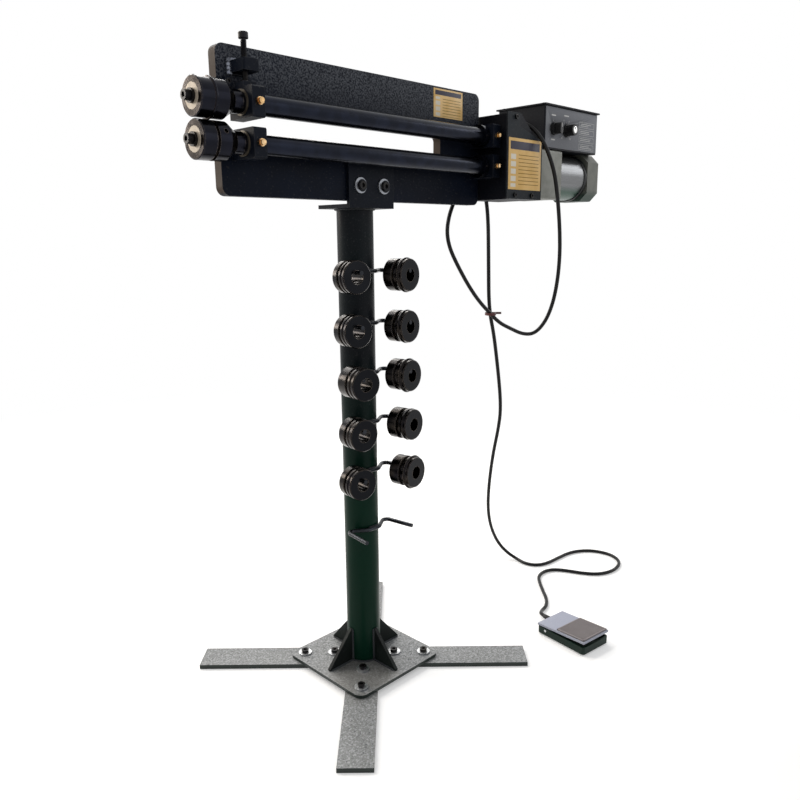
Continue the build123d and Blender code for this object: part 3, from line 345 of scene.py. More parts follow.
@dataclass(frozen=True)
class TurnedSteel(Finish):
    """Steel turned on a lathe, often black oxide over it: fine tool rings, an oily film, bright edges.

    The rings are drawn about five times as coarse as real ones, so that they show.
    """

    centre: Point = (0.0, 0.0, 0.0)
    turn: float = 0.0
    along_x: bool = True
    bright: str = "#7a7066"
    film: str = "#2a2523"
    face: str = "#231f1d"
    pitch: float = 0.9
    wear: float = 0.6

    def dress(self, net: NodeNet) -> None:
        """Rings about the piece's own axis, an oily film, end faces of their own tint and rubbed edges."""
        moved = net.vector("SUBTRACT", net.place, Vector(self.centre) * MM)
        back = (0, 0, -math.radians(self.turn))
        local = net.add("ShaderNodeMapping", {"Vector": moved, "Rotation": back}).outputs["Vector"]
        across, run = ("Y", "X") if self.along_x else ("X", "Y")
        sides = {0: net.part(across, local), 1: net.part("Z", local)}
        flat = net.add("ShaderNodeCombineXYZ", sides).outputs[0]
        reach = net.math("ADD", net.measure("LENGTH", flat), net.part(run, local))
        rings = net.math("SINE", net.times(reach, 2 * math.pi / (self.pitch * MM)))
        oil_and_painted_shade = net.ramp(net.noise(12.0), 0.35, 0.7)
        ends = net.ramp(net.math("ABSOLUTE", net.facing(run)), 0.75, 0.95)
        body = net.mix(ends, net.mix(oil_and_painted_shade, self.colour, self.film), self.face)
        net.paint(net.mix(net.edges(self.wear), body, self.bright))
        net.dull(net.noise(6.0), self.roughness - 0.1, self.roughness + 0.12)
        net.bump(rings, 0.25, 0.04)


@dataclass(frozen=True)
class PlatedMetal(Finish):
    """Plated, turned or sintered metal: fine grain, dull patches and a second tint."""

    tint: str = "#b5a98c"
    grain: float = 1.2

    def dress(self, net: NodeNet) -> None:
        """A tint in soft patches, uneven gloss and fine grain."""
        net.paint(net.mix(net.ramp(net.noise(9.0), 0.35, 0.7), self.colour, self.tint))
        fine = net.noise(self.grain, 2.0)
        net.dull(fine, self.roughness - 0.08, self.roughness + 0.12)
        net.bump(fine, 0.12, 0.05)


@dataclass(frozen=True)
class ShadedWasher(PlatedMetal):
    """Plated washers, bright on the base plate, with painted shade on faces that look forward and a painted
    dark ring round each upright bolt.
    """

    # Painted shade on the washers' faces that look forward.
    shaded_tint: str = "#8d9096"
    # The colour of the painted dark ring round each bolt.
    oil_and_painted_shade: str = "#17181c"
    bolts: tuple[Point, Point] = ((-22.5, 0.0, 848.0), (27.5, 0.0, 848.0))
    spread: float = 9.6

    def dress(self, net: NodeNet) -> None:
        """The plate, and on faces that look forward a painted shade, darker still in a painted ring round
        each bolt.
        """
        super().dress(net)
        level = net.vector("MULTIPLY", net.place, (1, 0, 1))
        first, second = (net.measure("DISTANCE", level, Vector(bolt) * MM) for bolt in self.bolts)
        nearest = net.math("MINIMUM", first, second)
        # Painted shade: a dark ring round each bolt and a dim tint on faces that look forward.
        painted_dark_ring = net.ramp(nearest, (self.spread + 0.5) * MM, (self.spread - 0.5) * MM)
        ring = net.mix(painted_dark_ring, self.shaded_tint, self.oil_and_painted_shade)
        net.paint(net.mix(net.ramp(net.facing("Y"), -0.5, -0.9), net.painted(), ring))


@dataclass(frozen=True)
class DrawnSleeve(Finish):
    """A drawn steel sleeve under thin lacquer: long fine lines along its axis."""

    line: str = "#a3a5a8"

    def dress(self, net: NodeNet) -> None:
        """Lines that run along X, about half a millimetre apart, three times as coarse as real ones."""
        drawn = net.add("ShaderNodeMapping", {"Vector": net.place, "Scale": (12, 1200, 1200)}).outputs[0]
        lines = net.add("ShaderNodeTexNoise", {"Vector": drawn, "Scale": 1.0, "Detail": 2.0}).outputs["Fac"]
        net.paint(net.mix(net.ramp(lines, 0.35, 0.7), self.colour, self.line))
        net.dull(lines, self.roughness - 0.08, self.roughness + 0.1)
        net.bump(lines, 0.15, 0.03)


@dataclass(frozen=True)
class Moulded(Finish):
    """Moulded plastic, rubber or a cable jacket: a spark-eroded grain and faint patches of wear."""

    worn: str = "#3a3a3a"
    grain: float = 0.8
    deep: float = 0.12
    patch: float = 18.0

    def dress(self, net: NodeNet) -> None:
        """Patches of wear in the colour and a fine grain as bump."""
        patch = net.ramp(net.noise(self.patch), 0.4, 0.75)
        fine = net.noise(self.grain, 2.0)
        net.paint(net.mix(net.times(patch, fine), self.colour, self.worn))
        net.dull(patch, self.roughness - 0.06, self.roughness + 0.08)
        net.bump(fine, 0.4, self.deep)


@dataclass(frozen=True)
class RuledFilm(Finish):
    """A printed polyester film: a dark band on top, a column of pale boxes and ruled lines, all blank.

    Its box is left, right, bottom and top.
    """

    box: Box = (0.0, 1.0, 0.0, 1.0)
    out: float = 0.4
    sunk: float = 0.1
    rows: float = 6.0
    faded: str = "#d9b069"
    band: str = "#3b3a47"
    ink: str = "#8a6a2c"
    pale: str = "#e6dfcf"

    def within(self, net: NodeNet, value: Socket, low: float, high: float) -> Socket:
        """1 where a value lies between low and high."""
        return net.math("COMPARE", value, (low + high) / 2, (high - low) / 2)

    def dress(self, net: NodeNet) -> None:
        """The print, laid out across the film's width and height."""
        left, right, bottom, top = (edge * MM for edge in self.box)
        across = net.ramp(net.part("X"), left, right, "LINEAR")
        rise = net.ramp(net.part("Z"), bottom, top, "LINEAR")
        count = net.times(rise, self.rows)
        step = net.math("FRACT", count)
        half_step = net.math("FRACT", net.times(count, 2.0))
        field_rows = self.within(net, rise, 0.05, 0.72)
        lines = net.times(self.within(net, half_step, 0.42, 0.62), self.within(net, across, 0.3, 0.93))
        boxes = net.times(self.within(net, step, 0.14, 0.84), self.within(net, across, 0.07, 0.22))
        header = net.times(self.within(net, rise, 0.78, 0.94), self.within(net, across, 0.05, 0.95))
        fade = net.ramp(net.noise(14.0), 0.3, 0.75)
        ground = net.mix(fade, self.colour, self.faded)
        colour = net.mix(net.times(lines, field_rows), ground, self.ink)
        colour = net.mix(net.times(boxes, field_rows), colour, self.pale)
        net.paint(net.mix(header, colour, self.band))
        net.bump(fade, 0.08, 0.1)


DIE_AXIS_Y = -64.0
LOWER_Z = 890.0
UPPER_Z = 941.0

# Satin black over sandblasted steel: nearly black and slightly blue, with a soft wide sheen.
HEAD_COAT = PowderCoat("satin black powder coat", "#0b1019", 0.44, specular=0.07, blotch="#121722")
# The same coat on the thin cover: a little greyer and more handled.
COVER_COAT = PowderCoat("satin black powder coat on cover", "#191d21", 0.48, specular=0.1, blotch="#20252a")
# The same coat on thick plate: the burnt ends that look to -X brown and dull beside the dark face, partly a
# painted warm reflection, and paler grains painted towards the top as light from above.
PLATE_COAT = FlameCutPlate("flame-cut plate, black powder coat", "#090e19", 0.46, specular=0.06,
                           blotch="#101623")
# The same coat on drawn tube: smoother, so that a long highlight runs down it, and a dark green reflection
# painted low down.
POST_COAT = PowderCoat("black powder coat on tube", "#0d1015", 0.36, specular=0.08, blotch="#10171a",
                       peel=0.12, painted_reflection="#04261a", low=380.0, high=760.0, cloud=250.0)
# The same coat on the gussets: black and plain.
GUSSET_COAT = PowderCoat("black powder coat on gussets", "#101413", 0.4, specular=0.14, blotch="#141c19",
                         peel=0.2)
# Grey hammer enamel: small pale dimples and dark pits on the tops of bars; tops painted pale as lit from
# above, sides painted dark as shade, and a painted shadow round the post.
FOOT_COAT = HammeredCoat("grey hammered enamel", "#707272", 0.46, 0.1, blotch="#7d7f80", worn="#c2c4c7",
                         grit=1.5, peel=0.6, flecks=(0.45, 0.66))
# Bent sheet with a fine black texture: flat and dark, edges hardly worn; its colour is set darker as painted
# shade, on the box and the gear housing.
SHADED_BOX_COAT = PowderCoat("fine-textured black sheet-metal coat", "#0c0d14", 0.5, specular=0.12,
                      blotch="#11131a", grit=1.0, peel=0.2)
# Silk-screen grey on a flat front: dull, even, with very fine grain.
PANEL_COAT = PowderCoat("grey front panel coat", "#727479", 0.6, specular=0.2, blotch="#7a7c82",
                        worn="#8e8f95", grit=1.0, peel=0.2)
# Ground shaft steel, blackened: dark, with a sharp streak of light along its top.
SHAFT_STEEL = PlatedMetal("blackened shaft steel", "#171a23", 0.2, 0.9, tint="#1d212d", grain=0.8)
# Drawn rod with a thin black oxide: dark, with a thin bright streak.
ROD_STEEL = PlatedMetal("blackened drawn rod", "#24262a", 0.26, 0.9, tint="#313338", grain=0.8)
# Black oxide on screws: nearly black, oily, with small bright glints.
OXIDE_SCREW = PlatedMetal("black oxide screw steel", "#202023", 0.33, 0.9, tint="#2d2b29", grain=0.7)
# Zinc plate: bright, duller in patches.
ZINC = PlatedMetal("bright zinc plate", "#c6c8ca", 0.3, 0.9, tint="#b3b5b6")
# The same plate on washers: bright on the base plate, with painted shade on the bracket's washers, darkest
# round their bolts.
WASHER_ZINC = ShadedWasher("bright zinc plate on washers", "#c6c8ca", 0.3, 0.9, tint="#b3b5b6")
# Cut gear steel under grease: grey, with brown patches.
GEAR_STEEL = PlatedMetal("greased gear steel", "#8b8b8c", 0.35, 1.0, tint="#6f6a5c")
# Sintered bronze, its faces polished pale by wear: grey-tan and dull.
BRONZE = PlatedMetal("sintered bronze, worn pale", "#675f53", 0.45, 0.6, tint="#554c3f", grain=0.6)
# Turned brass: warm and bright.
BRASS = PlatedMetal("turned brass", "#e0c094", 0.26, 1.0, tint="#cba36c")
# Die-cast alloy as it left the mould: mid grey, granular, hardly shiny.
GEARHEAD_CAST = PlatedMetal("grey die-cast alloy", "#7e7f78", 0.48, 0.2, tint="#70716a", grain=1.4)
# The same alloy on the end bell: a little darker, and a dark green reflection and shade painted low down.
BELL_CAST = PlatedMetal("grey die-cast alloy, lacquered", "#65665f", 0.48, 0.2, tint="#585a54", grain=1.4,
                        painted_reflection="#1f352b", low=846.0, high=860.0)
# Drawn sleeve under thin grey lacquer: silky, with hairlines along its axis, and a dark green reflection and
# shade painted low down.
MOTOR_SLEEVE = DrawnSleeve("lacquered drawn steel sleeve", "#767779", 0.28, 0.8, line="#6c6d6e",
                           painted_reflection="#234336", low=850.0, high=866.0)
# Black ABS: dark, with the fine grain of its mould.
BLACK_ABS = Moulded("moulded black ABS", "#141517", 0.4, specular=0.3)
# Dark green glass-filled nylon: dull and nearly black.
PEDAL_ABS = Moulded("moulded dark green pedal body", "#0b2018", 0.48, specular=0.2, worn="#17302a")
# Pale blue-grey enamel on thin plate: smooth, with few specks.
TREADLE_COAT = PowderCoat("pale blue-grey enamel", "#9da1b2", 0.42, specular=0.3, blotch="#a6aab9",
                          worn="#bfc0c6", grit=1.0, peel=0.15)
# Worn grey rubber: matt and dusty.
PAD_RUBBER = Moulded("grey rubber mat", "#878182", 0.75, specular=0.2, worn="#94908f", grain=1.2, deep=0.3)
# Glass laminate under green resist: dark green, with a dull gloss.
BOARD = Moulded("circuit board laminate", "#16452a", 0.45, worn="#2c6b45")
# Black PVC: smooth, with a narrow soft gleam.
JACKET = Moulded("PVC cable jacket", "#050506", 0.34, specular=0.2, worn="#101011", grain=0.6, deep=0.05,
                 patch=30.0)
# Red-brown nylon: slightly waxy.
TIE_NYLON = Moulded("nylon tie", "#4c2523", 0.4, specular=0.3, worn="#6b3a36")
# Pale ink: flat and thin.
WHITE_INK = Moulded("pale printing ink", "#c9c9c6", 0.6, worn="#b4b4b2", deep=0.02)
# The same black coat over ripples of weld: small soft glints in a row.
WELD_COAT = PowderCoat("coated weld bead", "#15181c", 0.36, specular=0.16, grit=0.9, peel=0.25)
# Weld that was never coated: dull silver with a blue tint from its heat.
BARE_WELD = PlatedMetal("bare weld bead", "#8b8f99", 0.4, 0.8, tint="#565b69", grain=0.7)
# Weld at the foot under a thin grey coat: dark, and dull between its glints.
FOOT_WELD = PowderCoat("grey coated weld bead", "#2c3032", 0.4, specular=0.2, grit=0.9, peel=0.25)
# Spun aluminium: bright, with fine rings.
KNOB_CAP = TurnedSteel("spun aluminium cap", "#d6d6d4", 0.25, 1.0, centre=(442.0, 0.0, 963.0),
                       along_x=False, bright="#e2e2e0", film="#c4c4c2", face="#d6d6d4")


# Modelling steps


def at(x: float, y: float, z: float) -> Matrix:
    """The move to a point in millimetres."""
    return Matrix.Translation(Vector((x, y, z)) * MM)


def upright(point: Point, way: Point) -> Matrix:
    """The place of a piece modelled along Z that is to stand at a point, along a direction."""
    turn = Vector(Way.UP.value).rotation_difference(Vector(way)).to_matrix().to_4x4()
    return at(*point) @ turn


def pick(piece: Object) -> None:
    """Select one piece alone and make it the active one."""
    bpy.ops.object.select_all(action="DESELECT")
    piece.select_set(True)
    bpy.context.view_layer.objects.active = piece


def edit(piece: Object) -> None:
    """Go into edit mode with one piece, all of it selected."""
    pick(piece)
    bpy.ops.object.mode_set(mode="EDIT")
    bpy.ops.mesh.select_all(action="SELECT")


def leave(piece: Object, smooth: float = 35.0) -> Object:
    """Close a piece after editing: normals outwards, round faces smooth.

    Args:
        piece: The piece in edit mode.
        smooth: Edges sharper than this angle stay sharp.

    Returns:
        The same piece, in object mode.
    """
    bpy.ops.mesh.select_all(action="SELECT")
    bpy.ops.mesh.normals_make_consistent(inside=False)
    bpy.ops.object.mode_set(mode="OBJECT")
    bpy.ops.object.shade_smooth_by_angle(angle=math.radians(smooth))
    return piece


def settle(piece: Object, place: Matrix) -> Object:
    """Move a piece by a matrix and put its place into its mesh."""
    pick(piece)
    piece.matrix_world = place @ piece.matrix_world
    bpy.ops.object.transform_apply(location=True, rotation=True, scale=True)
    return piece


def add_piece(operator: Callable, name: str, **options: Any) -> Object:
    """Add a mesh primitive as a named piece, with its place in its mesh.

    Args:
        operator: The operator that adds the primitive.
        name: The piece's name.
        **options: What the operator is given.

    Returns:
        The new piece, at the origin.
    """
    bpy.ops.object.select_all(action="DESELECT")
    operator(**options)
    piece = bpy.context.object
    piece.name = name
    bpy.ops.object.transform_apply(location=True, rotation=True, scale=True)
    return piece


def modify(piece: Object, kind: str, **settings: Any) -> Object:
    """Give a piece a modifier with its settings, and apply it."""
    pick(piece)
    step = piece.modifiers.new(kind.lower(), kind)
    for name, value in settings.items():
        setattr(step, name, value)
    bpy.ops.object.modifier_apply(modifier=step.name)
    return piece


def slab(name: str, low: Point, high: Point, bevel: float, segments: int = 2) -> Object:
    """A block between two corners, with all its edges rounded.

    Args:
        name: The piece's name.
        low: The lowest corner in millimetres.
        high: The highest corner in millimetres.
        bevel: The rounding of the edges.
        segments: Steps of the rounding.

    Returns:
        The piece, at the origin.
    """
    size = (Vector(high) - Vector(low)) * MM
    piece = add_piece(bpy.ops.mesh.primitive_cube_add, name, size=1)
    settle(piece, at(*(Vector(low) + Vector(high)) / 2) @ Matrix.Diagonal((*size, 1)))
    edit(piece)
    bpy.ops.mesh.bevel(offset=bevel * MM, segments=segments, affect="EDGES")
    return leave(piece)


def turned(name: str, outline: list[tuple[float, float]], place: Matrix, sides: int = 48) -> Object:
    """A piece as turned on a lathe, from radii and heights along its axis.

    Args:
        name: The piece's name.
        outline: Pairs of radius and height in millimetres, from one end to the other.
        place: Where the piece stands; its axis is the matrix's Z.
        sides: Faces round the axis.

    Returns:
        The closed piece, at the origin.
    """
    radius, height = outline[0]
    piece = add_piece(bpy.ops.mesh.primitive_circle_add, name, vertices=sides, radius=radius * MM,
                      fill_type="NGON", location=(0, 0, height * MM))
    edit(piece)
    for wide, high in outline[1:]:
        bpy.ops.mesh.extrude_region_move(TRANSFORM_OT_translate={"value": (0, 0, (high - height) * MM)})
        bpy.ops.transform.resize(value=(wide / radius, wide / radius, 1), center_override=(0, 0, high * MM))
        radius, height = wide, high
    leave(piece)
    return settle(piece, place)


def cut(piece: Object, tool: Object) -> Object:
    """Cut a piece with a tool, which is used up."""
    modify(piece, "BOOLEAN", object=tool, operation="DIFFERENCE")
    bpy.data.objects.remove(tool)
    return piece


def join(name: str, pieces: list[Object]) -> Object:
    """Several meshes as one named piece."""
    pick(pieces[0])
    for piece in pieces[1:]:
        piece.select_set(True)
    bpy.ops.object.join()
    pieces[0].name = name
    return pieces[0]


def repeat(piece: Object, count: int, step: Vector) -> Object:
    """The same shape a number of times along a line."""
    return modify(piece, "ARRAY", count=count, use_relative_offset=False, use_constant_offset=True,
                  constant_offset_displace=step)


def ring_of(piece: Object, count: int, centre: Point, axis: Point, angle: float = 360.0) -> Object:
    """The same shape a number of times round an axis."""
    edit(piece)
    closed = abs(angle) >= 360
    steps = count if closed else count - 1
    bpy.ops.mesh.spin(steps=steps, dupli=True, angle=math.radians(angle), center=Vector(centre) * MM,
                      axis=axis)
    bpy.ops.mesh.select_all(action="SELECT")
    if closed:
        bpy.ops.mesh.remove_doubles(threshold=0.00001)
    return leave(piece)


class SubAssembly:
    """A group of pieces of the machine that is built and dressed together."""

    def coat(self, finish: Finish, *nodes: str) -> None:
        """Give CAD nodes a finish."""
        for node in nodes:
            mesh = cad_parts[node].data
            mesh.materials.clear()
            mesh.materials.append(finish.material())
            LOG.info("coated %s with %s", node, finish.name)

    def fit(self, piece: Object, finish: Finish, slot: Slot, body: str = "stand") -> Object:
        """Dress a new piece and let it move with a body.

        Args:
            piece: The finished piece.
            finish: What it is covered with.
            slot: The record's slot for it; not used.
            body: The body that carries it.

        Returns:
            The same piece.
        """
        piece.data.materials.clear()
        piece.data.materials.append(finish.material())
        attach(piece, body)
        LOG.info("fitted %s to %s", piece.name, body)
        return piece

    def stick(self, name: str, film: RuledFilm, front: float) -> None:
        """Stick a thin printed film on a face that looks forward.

        Args:
            name: The piece's name.
            film: The film, whose box is its place on the face.
            front: The face's place along Y.
        """
        left, right, bottom, top = film.box
        low, high = (left, front - film.out, bottom), (right, front + film.sunk, top)
        plate = slab(name, low, high, 0.15)
        self.fit(plate, film, Slot.PAINT)


@dataclass
class WeldBead:
    """A weld laid in overlapping ripples, each a small drop."""

    width: float
    pitch: float
    parts: list[Object] = field(default_factory=list)

    def drop(self, point: Point) -> Object:
        """One ripple of the bead, at a point."""
        return add_piece(bpy.ops.mesh.primitive_uv_sphere_add, "ripple", segments=12, ring_count=6,
                         radius=self.width / 2 * MM, location=Vector(point) * MM)

    def run(self, start: Point, end: Point) -> None:
        """Lay a straight bead between two points."""
        way = Vector(end) - Vector(start)
        count = max(2, round(way.length / self.pitch))
        self.parts.append(repeat(self.drop(start), count, way / (count - 1) * MM))

    def ring(self, centre: Point, radius: float) -> None:
        """Lay a bead round a vertical tube."""
        piece = self.drop((centre[0] + radius, centre[1], centre[2]))
        count = round(2 * math.pi * radius / self.pitch)
        self.parts.append(ring_of(piece, count, centre, Way.UP.value))

    def finish(self, name: str) -> Object:
        """All the laid beads as one piece."""
        piece = join(name, self.parts)
        edit(piece)
        return leave(piece, 80.0)


@dataclass
class FootStand(SubAssembly):
    """The cross of leg bars, the base plate, the post with its gussets, and the head bracket."""

    base_top: float = 14.0
    post_r: float = 30.0
    post_top: float = 814.0
    gusset_reach: float = 83.0
    gusset_top: float = 73.0
    gusset_half: float = 3.0
    ring_out: float = 1.2
    side_out: float = 0.6

    def build(self) -> None:
        """Coat the stand and lay its welds."""
        self.coat(FOOT_COAT, "legs", "base_plate")
        self.coat(POST_COAT, "post")
        self.coat(GUSSET_COAT, "gussets")
        self.coat(HEAD_COAT, "head_bracket")
        self.coat(OXIDE_SCREW, "leg_screws", "bracket_bolts")
        self.coat(WASHER_ZINC, "washers")
        self.fit(self.foot_welds(), FOOT_WELD, Slot.FOOT)
        self.fit(self.top_weld(), WELD_COAT, Slot.PAINT)

    def foot_welds(self) -> Object:
        """The beads round the post's foot and along both sides of each gusset."""
        bead = WeldBead(5.0, 2.2)
        bead.ring((0, 0, self.base_top), self.post_r + self.ring_out)
        for quarter in range(4):
            c, s = math.cos(quarter * math.pi / 2), math.sin(quarter * math.pi / 2)
            for side in (-1, 1):
                off = side * (self.gusset_half + self.side_out)
                near, inner, outer = (
                    (c * r - s * off, s * r + c * off)
                    for r in (self.post_r + 0.4, self.post_r + 4, self.gusset_reach - 3)
                )
                bead.run((*inner, self.base_top), (*outer, self.base_top))
                bead.run((*near, self.base_top + 4), (*near, self.gusset_top))
        return bead.finish("foot_welds")

    def top_weld(self) -> Object:
        """The bead between the post and the head bracket."""
        bead = WeldBead(5.5, 2.4)
        bead.ring((0, 0, self.post_top), self.post_r + self.ring_out)
        return bead.finish("post_top_weld")


@dataclass
class DieRack(SubAssembly):
    """The bent rods on the post and the spare dies that hang on them."""

    levels: tuple[float, ...] = (715.0, 630.0, 547.0, 462.0, 377.0, 270.0)
    rod_y: float = -33.7
    rod_half: float = 3.5
    root: tuple[float, float] = (45.0, -10.0)
    splay: float = 8.0
    hang: float = 7.2
    weld_half: float = 9.0
    weld_back: float = 2.6
    weld_sink: float = 0.6

    def build(self) -> None:
        """Coat rods and dies, and weld the rods to the post."""
        self.coat(ROD_STEEL, "rack_brackets")
        for tag, side in (("left", -1), ("right", 1)):
            for number, level in enumerate(self.levels[:-1], 1):
                centre = (side * self.root[0], self.root[1], level - self.hang)
                # Oiled black oxide on turned dies: dark, with sharp bright rims and fine rings.
                self.coat(TurnedSteel(
                    f"turned die steel {tag} {number}", "#231f1c", 0.17, 0.95, centre=centre,
                    turn=side * self.splay, along_x=False, film="#151417", face="#17181b",
                ), f"spare_die_{tag}_{number}")
        bead = WeldBead(4.0, 2.0)
        y = self.rod_y + self.weld_back
        for level in self.levels:
            for side in (-1, 1):
                z = level + side * (self.rod_half - self.weld_sink)
                bead.run((-self.weld_half, y, z), (self.weld_half, y, z))
        self.fit(bead.finish("rod_welds"), WELD_COAT, Slot.PAINT)


@dataclass
class RollHead(SubAssembly):
    """The slotted plate with its bearing blocks, shafts, working dies and adjusting screw.

    The lug and the label are given as left, right, bottom and top.
    """

    screw_x: float = -240.0
    screw_y: float = -61.0
    screw_low: float = 967.4
    screw_shoulder: float = 1020.0
    screw_top: float = 1028.0
    thread_r: float = 4.0
    thread_pitch: float = 1.25
    thread_deep: float = 0.7
    thread_steps: int = 20
    head_r: float = 6.5
    socket_r: float = 3.7
    socket_deep: float = 5.5
    lug: Box = (-248.0, -223.0, 981.0, 996.0)
    plate_front: float = -36.0
    label: Box = (151.0, 226.0, 968.0, 1014.0)

    def build(self) -> None:
        """Coat the head and add the threaded screw, the welds and the blank label."""
        self.coat(PLATE_COAT, "head_plate")
        self.coat(HEAD_COAT, "adjuster_lug", "lower_blocks", "upper_rear_block", "upper_front_block",
                  "guide_strips")
        self.coat(BRONZE, "lower_bushes", "upper_front_bush", "upper_rear_bush")
        self.coat(BRASS, "fixed_oilers", "upper_front_oiler")
        self.coat(SHAFT_STEEL, "lower_shaft", "upper_shaft")
        self.coat(OXIDE_SCREW, "thrust_pad", "adjusting_screw", "lower_die_screw", "upper_die_screw",
                  "head_screws")
        self.coat(GEAR_STEEL, "lower_gear", "upper_gear", "output_shaft")
        for tag, z in (("lower", LOWER_Z), ("upper", UPPER_Z)):
            centre = (0.0, DIE_AXIS_Y, z)
            # Blackened die steel: dark blue-black flanks, browner faces and bright rubbed rims.
            self.coat(TurnedSteel(
                f"{tag} die steel", "#191a20", 0.17, 0.95, centre=centre, film="#1b1c24", face="#2b221d",
            ), f"{tag}_die")
            # Bare washer steel: pale and warm, dull, with the rings of its facing cut.
            self.coat(TurnedSteel(
                f"{tag} turned washer steel", "#b3a797", 0.45, 0.3, centre=centre, bright="#c2b8a9",
                film="#9c8e7b", face="#ada190",
            ), f"{tag}_die_washer")
        screw = self.fit(self.threaded_screw(), OXIDE_SCREW, Slot.OXIDE, "adjuster")
        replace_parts(screw, "adjusting_screw")
        self.fit(self.lug_weld(), WELD_COAT, Slot.PAINT)
        self.fit(self.lug_side_weld(), BARE_WELD, Slot.ZINC)
        # Amber film: a warm pale patch with faint rules under a dark band.
        self.stick("plate_label", RuledFilm(
            "amber printed film on plate", "#f0cd92", 0.45, specular=0.2, box=self.label, rows=5.0,
        ), self.plate_front)

    def threaded_screw(self) -> Object:
        """The adjusting screw: a core, a cut thread and a socket head."""
        root, rim, hole = self.thread_r - self.thread_deep, self.head_r, self.socket_r
        low, high, top = self.screw_low, self.screw_shoulder, self.screw_top
        place = at(self.screw_x, self.screw_y, 0)
        core = turned("screw_core", [(root - 0.8, low), (root, low + 1.0), (root, high + 0.5)], place)
        cap = turned("screw_head", [
            (root, high), (rim - 0.4, high), (rim, high + 0.4),
            (rim, top - 0.8), (rim - 0.8, top), (hole, top),
        ], place, 60)
        cut(cap, turned("screw_socket", [(hole, top - self.socket_deep), (hole, top + 1)], place, 6))
        thread = add_piece(bpy.ops.mesh.primitive_circle_add, "screw_thread", vertices=3,
                           radius=self.thread_deep * MM, fill_type="NOTHING")
        lean = Matrix.Rotation(math.pi / 2, 4, "X") @ Matrix.Rotation(-math.pi / 2, 4, "Z")
        settle(thread, at(root + 0.3, 0, 0) @ lean @ Matrix.Diagonal((0.7, 0.75, 1, 1)))
        modify(thread, "SCREW", axis="Z", steps=self.thread_steps, render_steps=self.thread_steps,
               iterations=int((high - low - 3) / self.thread_pitch), screw_offset=self.thread_pitch * MM)
        settle(thread, place @ at(0, 0, low + 1.5))
        edit(thread)
        bpy.ops.mesh.fill_holes(sides=3)
        leave(thread, 50.0)
        return join("threaded_adjuster", [core, cap, thread])

    def lug_weld(self) -> Object:
        """The bead over, under and on the far side of the adjuster lug, where it meets the plate."""
        bead = WeldBead(4.0, 2.0)
        left, right, bottom, top = self.lug
        y = self.plate_front - 0.5
        for z in (top + 0.4, bottom - 0.4):
            bead.run((left, y, z), (right, y, z))
        bead.run((right + 0.4, y, bottom), (right + 0.4, y, top))
        return bead.finish("lug_weld")

    def lug_side_weld(self) -> Object:
        """The thick uncoated bead up the near side of the lug and a little way over its top."""
        bead = WeldBead(9.0, 3.4)
        left, _, bottom, top = self.lug
        x, y = left - 1.0, self.plate_front - 1.6
        bead.run((x, y, bottom), (x, y, top))
        bead.run((x, y, top), (x + 9.0, y, top + 0.6))
        return bead.finish("lug_side_weld")


@dataclass
class Drive(SubAssembly):
    """The gear housing with its cover, and the gear motor.

    The label is given as left, right, bottom and top.
    """

    cover_front: float = -110.0
    label: Box = (264.5, 362.5, 850.0, 937.5)
    axis_y: float = -64.0
    axis_z: float = 882.0
    gearhead_end: float = 434.0
    motor_end: float = 528.0
    bell_end: float = 570.0
    motor_r: float = 43.0
    gearhead_bolt: float = 38.0
    bell_bolt: float = 30.0

    def build(self) -> None:
        """Coat the drive and add its label, its bolts and the black ring that stands for the shaded gap at
        the motor's end bell.
        """
        # The gear housing takes the box's coat, set dark as painted shade.
        self.coat(SHADED_BOX_COAT, "gear_housing")
        self.coat(COVER_COAT, "gear_cover")
        self.coat(GEARHEAD_CAST, "gearhead")
        self.coat(BELL_CAST, "motor_end_bell")
        self.coat(MOTOR_SLEEVE, "motor_body")
        # Amber film: a warm patch with faint rules under a dark band.
        self.stick("cover_label", RuledFilm(
            "amber printed film on cover", "#e6bf7d", 0.45, specular=0.2, box=self.label, rows=7.0,
        ), self.cover_front)
        self.fit(self.bolts("gearhead_bolts", self.gearhead_end, self.gearhead_bolt), ZINC, Slot.ZINC)
        self.fit(self.bolts("bell_bolts", self.bell_end, self.bell_bolt), ZINC, Slot.ZINC)
        self.fit(self.shade_ring(), BLACK_ABS, Slot.PLASTIC)

    def shade_ring(self) -> Object:
        """A black ring between the motor's cylinder and its end bell, put there as the shade in the gap
        between them.
        """
        r, end = self.motor_r, self.motor_end
        return turned("motor_seal", [
            (r - 1, end - 9), (r + 1.2, end - 9), (r + 1.8, end - 8),
            (r + 1.8, end - 0.5), (r - 1, end - 0.5),
        ], upright((0, self.axis_y, self.axis_z), Way.RIGHT.value), 64)

    def bolts(self, name: str, x: float, half: float) -> Object:
        """Four socket-head bolts on a face of the motor.

        Args:
            name: The piece's name.
            x: The face that they are seated on.
            half: Half the distance between neighbours.

        Returns:
            The four bolts as one piece.
        """
        head = [(4.2, -0.3), (4.2, 3.4), (3.7, 4.0), (2.3, 4.0), (2.3, 2.0)]
        made = []
        for y in (-half, half):
            for z in (-half, half):
                place = upright((x, self.axis_y + y, self.axis_z + z), Way.RIGHT.value)
                made.append(turned(name, head, place, 24))
        return join(name, made)


